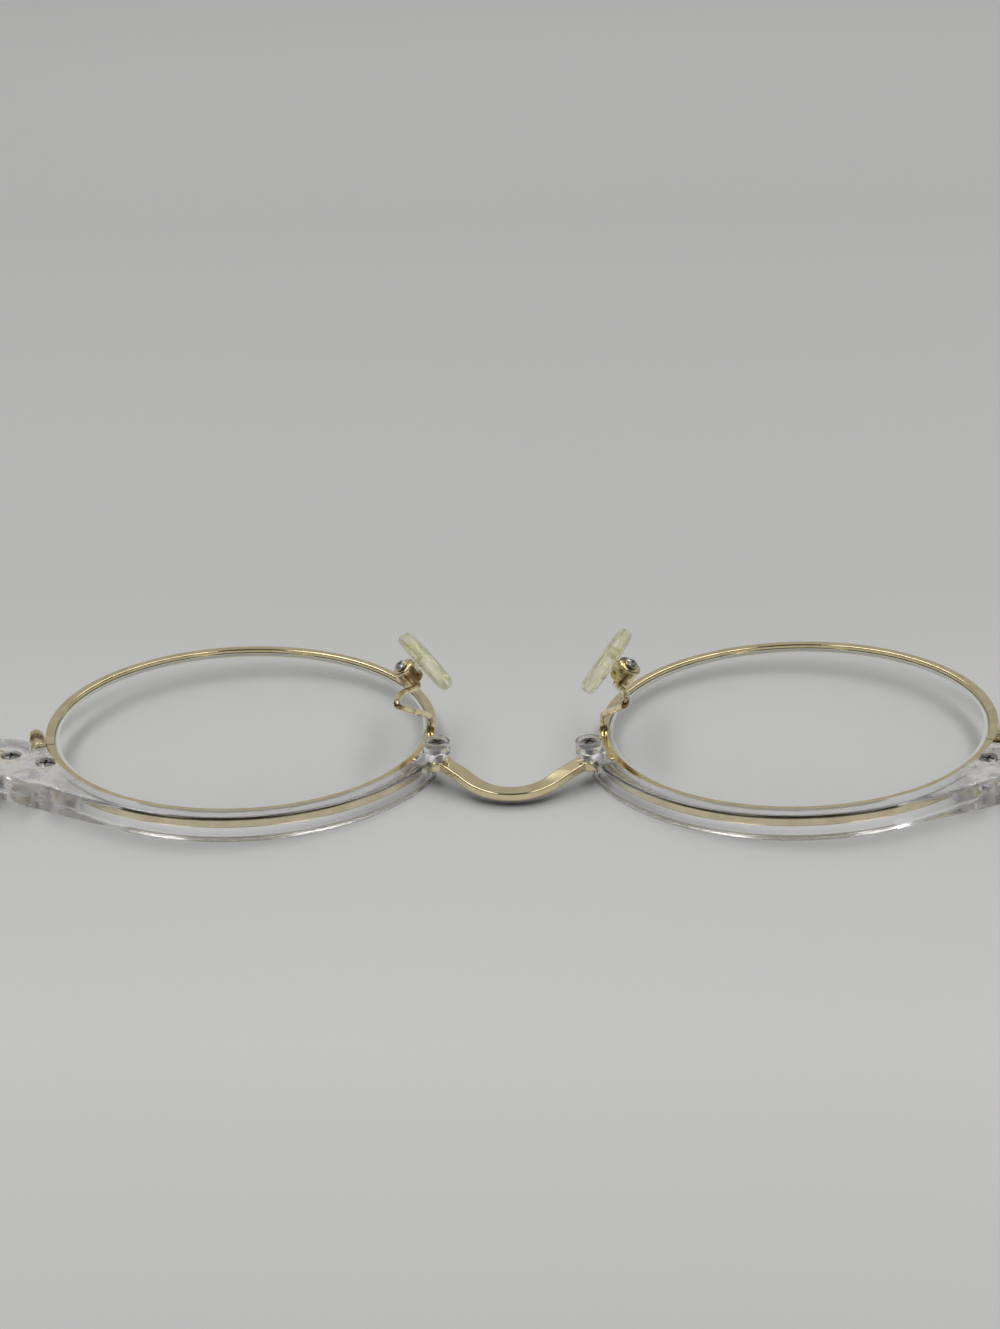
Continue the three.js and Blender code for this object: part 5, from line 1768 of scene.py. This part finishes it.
def screw_group():
    """Screws with their heads' tops on the points, their shanks along the points' axis."""
    sizes = ["Head radius", "Head height", "Shank radius", "Length", "Recess width", "Recess depth", "Pitch"]
    group, tree, given = node_group("cross_recess_screw", sizes)
    head, height, shank, length, wide, deep, pitch = (given[size] for size in sizes)
    counts = {"Size X": 1.0, "Size Y": 1.0, "Vertices X": SCREW_ROWS, "Vertices Y": SCREW_COLUMNS}
    grid = tree.add("GeometryNodeMeshGrid", {}, counts)
    spot = tree.add("GeometryNodeInputPosition")
    x, y, _ = tree.add("ShaderNodeSeparateXYZ", {}, {"Vector": spot}, output=None)
    along, turn = x + 0.5, (y + 0.5) * (2 * pi)
    crown, edge, wall, under, shaft, end = (
        tree.add("ShaderNodeMapRange", {}, {"Value": along, "From Min": low, "From Max": high})
        for low, high in zip(PROFILE_STOPS, PROFILE_STOPS[1:]))
    soft = HEAD_EDGE * head
    radius = crown * (head - soft) + edge * soft - under * (head - shank) - end * shank
    dome = HEAD_DOME * height
    drop = crown * crown * dome + edge * soft + wall * (height - dome - soft) + shaft * (length - height)
    wave = tree.add("ShaderNodeMath", {"operation": "PINGPONG"}, {0: drop / pitch + turn / (2 * pi), 1: 0.5})
    threaded = tree.ramp(shaft, *THREAD_START) * (1 - tree.ramp(shaft, *THREAD_END))
    radius = radius - THREAD_DEPTH * pitch * threaded * (1 - 2 * wave)
    cosine = tree.add("ShaderNodeMath", {"operation": "COSINE"}, {0: turn})
    sine = tree.add("ShaderNodeMath", {"operation": "SINE"}, {0: turn})
    rolled = tree.add("ShaderNodeCombineXYZ", {}, {"X": radius * cosine, "Y": radius * sine, "Z": 0 - drop})
    body = tree.add("GeometryNodeSetPosition", {}, {"Geometry": grid, "Position": rolled})
    cut = tree.add("GeometryNodeMergeByDistance", {}, {"Geometry": body, "Distance": SCREW_WELD})
    reach = RECESS_REACH * head
    for first, second, floor in zip((reach, wide), (wide, reach), RECESS_FLOORS):
        size = tree.add("ShaderNodeCombineXYZ", {}, {"X": first, "Y": second, "Z": floor * deep})
        meshes = {"Mesh 1": cut, "Mesh 2": tree.add("GeometryNodeMeshCube", {}, {"Size": size})}
        cut = tree.add("GeometryNodeMeshBoolean", {"operation": "DIFFERENCE"}, meshes)
    axis = tree.add("GeometryNodeInputNamedAttribute", {"data_type": "FLOAT_VECTOR"}, {"Name": "axis"})
    facing = tree.add("FunctionNodeAlignRotationToVector", {"axis": "Z"}, {"Vector": axis})
    spread = {2: 0.0, 3: pi / 2, "Seed": SCREW_SEED}
    angle = tree.add("FunctionNodeRandomValue", {"data_type": "FLOAT"}, spread, output=1)
    spin = tree.add("FunctionNodeAxisAngleToRotation", {}, {"Axis": (0, 0, 1), "Angle": angle})
    turns = {"Rotation": facing, "Rotate By": spin}
    rotation = tree.add("FunctionNodeRotateRotation", {"rotation_space": "LOCAL"}, turns)
    values = {"Points": given["Geometry"], "Instance": cut, "Rotation": rotation, "Scale": (MM, MM, MM)}
    screws = tree.add("GeometryNodeInstanceOnPoints", {}, values)
    close_group(tree, screws, given["Finish"])
    return group


SCREWS = screw_group()
print("screw tree", len(SCREWS.nodes), "nodes")

# %% [markdown]
# ## Screws in their places
#
# A screw's place is the top of its head, and its axis is the way the head faces. The screws of one kind
# are one piece for both sides, because all of them stay on the front.

# %% Screws in their places
SMALL_HEAD = 0.8
SMALL_SHANK = 0.42
RECESS_DEPTH = 0.3
THREAD_PITCH = 0.35
LARGE, SMALL = (SCREW_HEAD, SCREW_SHANK), (SMALL_HEAD, SMALL_SHANK)
UP, DOWN, TO_BROW = (0, 0, 1), (0, 0, -1), (0, -1, 0)


def screw_points(axes_of, spots):
    """Points at the heads of the screws of both sides, with the axis that each head faces."""
    points, facings = [], []
    for sign in SIDES.values():
        axes = axes_of(sign)
        for place, facing in spots:
            points.append(axes @ Vector(place))
            facings.append((axes.to_3x3() @ Vector(facing)).normalized())
    mesh = bpy.data.meshes.new("screw_points")
    mesh.from_pydata(points, [], [])
    attribute = mesh.attributes.new("axis", "FLOAT_VECTOR", "POINT")
    attribute.data.foreach_set("vector", [value for facing in facings for value in facing])
    return mesh


def add_screws(name, axes_of, spots, size, length, nodes, finish=STEEL):
    """Sets one screw, or a few alike, on both sides, as one piece on the front."""
    head, shank = size
    sizes = {
        "Head radius": head, "Head height": SCREW_HEAD_HEIGHT, "Shank radius": shank, "Length": length,
        "Recess width": RECESS_WIDTH, "Recess depth": RECESS_DEPTH, "Pitch": THREAD_PITCH, "Finish": finish}
    mesh = outwards(baked(name, screw_points(axes_of, spots), SCREWS, sizes))
    mesh.shade_smooth()
    mesh.set_sharp_from_angle(angle=radians(SHARP_ANGLE))
    names = [f"{side}_{node}" for side in SIDES for node in nodes]
    return add_piece(name, mesh, Matrix.Identity(4), "front", names)


def closing_axes(sign):
    """Axes at a closing block: z runs along the rim towards its top."""
    return eye_axes(sign) @ CLOSING_AXES


closing_head = (0, 0, -CLOSING_LOWER - SCREW_HEAD_HEIGHT - SOLDER)
hinge_head = hinge_axis - (0, barrel_half + SCREW_HEAD_HEIGHT + RUNNING, 0)
pad_head = (0, 0, PAD_BOX_LENGTH / 2 + SCREW_HEAD_HEIGHT + RUNNING)
closing_length = CLOSING_LOWER + CLOSING_UPPER + SCREW_HEAD_HEIGHT
hinge_length = 2 * barrel_half + SCREW_HEAD_HEIGHT
pad_length = PAD_BOX_LENGTH + SCREW_HEAD_HEIGHT
add_screws("end_piece_screws", eye_axes, [(inner_screw, UP), (outer_screw, UP)], LARGE, brow_screw_length,
           ["brow_inner_screw", "brow_outer_screw"])
add_screws("nose_screws", eye_axes, [(nose_screw, UP)], LARGE, nose_screw_length, ["brow_nose_screw"])
add_screws("closing_block_screws", closing_axes, [(closing_head, DOWN)], SMALL, closing_length,
           ["closing_screw"])
add_screws("hinge_axle_screws", eye_axes, [(hinge_head, TO_BROW)], SMALL, hinge_length, ["hinge_screw"])
add_screws("pad_axle_screws", pad_axes, [(pad_head, UP)], SMALL, pad_length, ["pad_screw"], NICKEL)
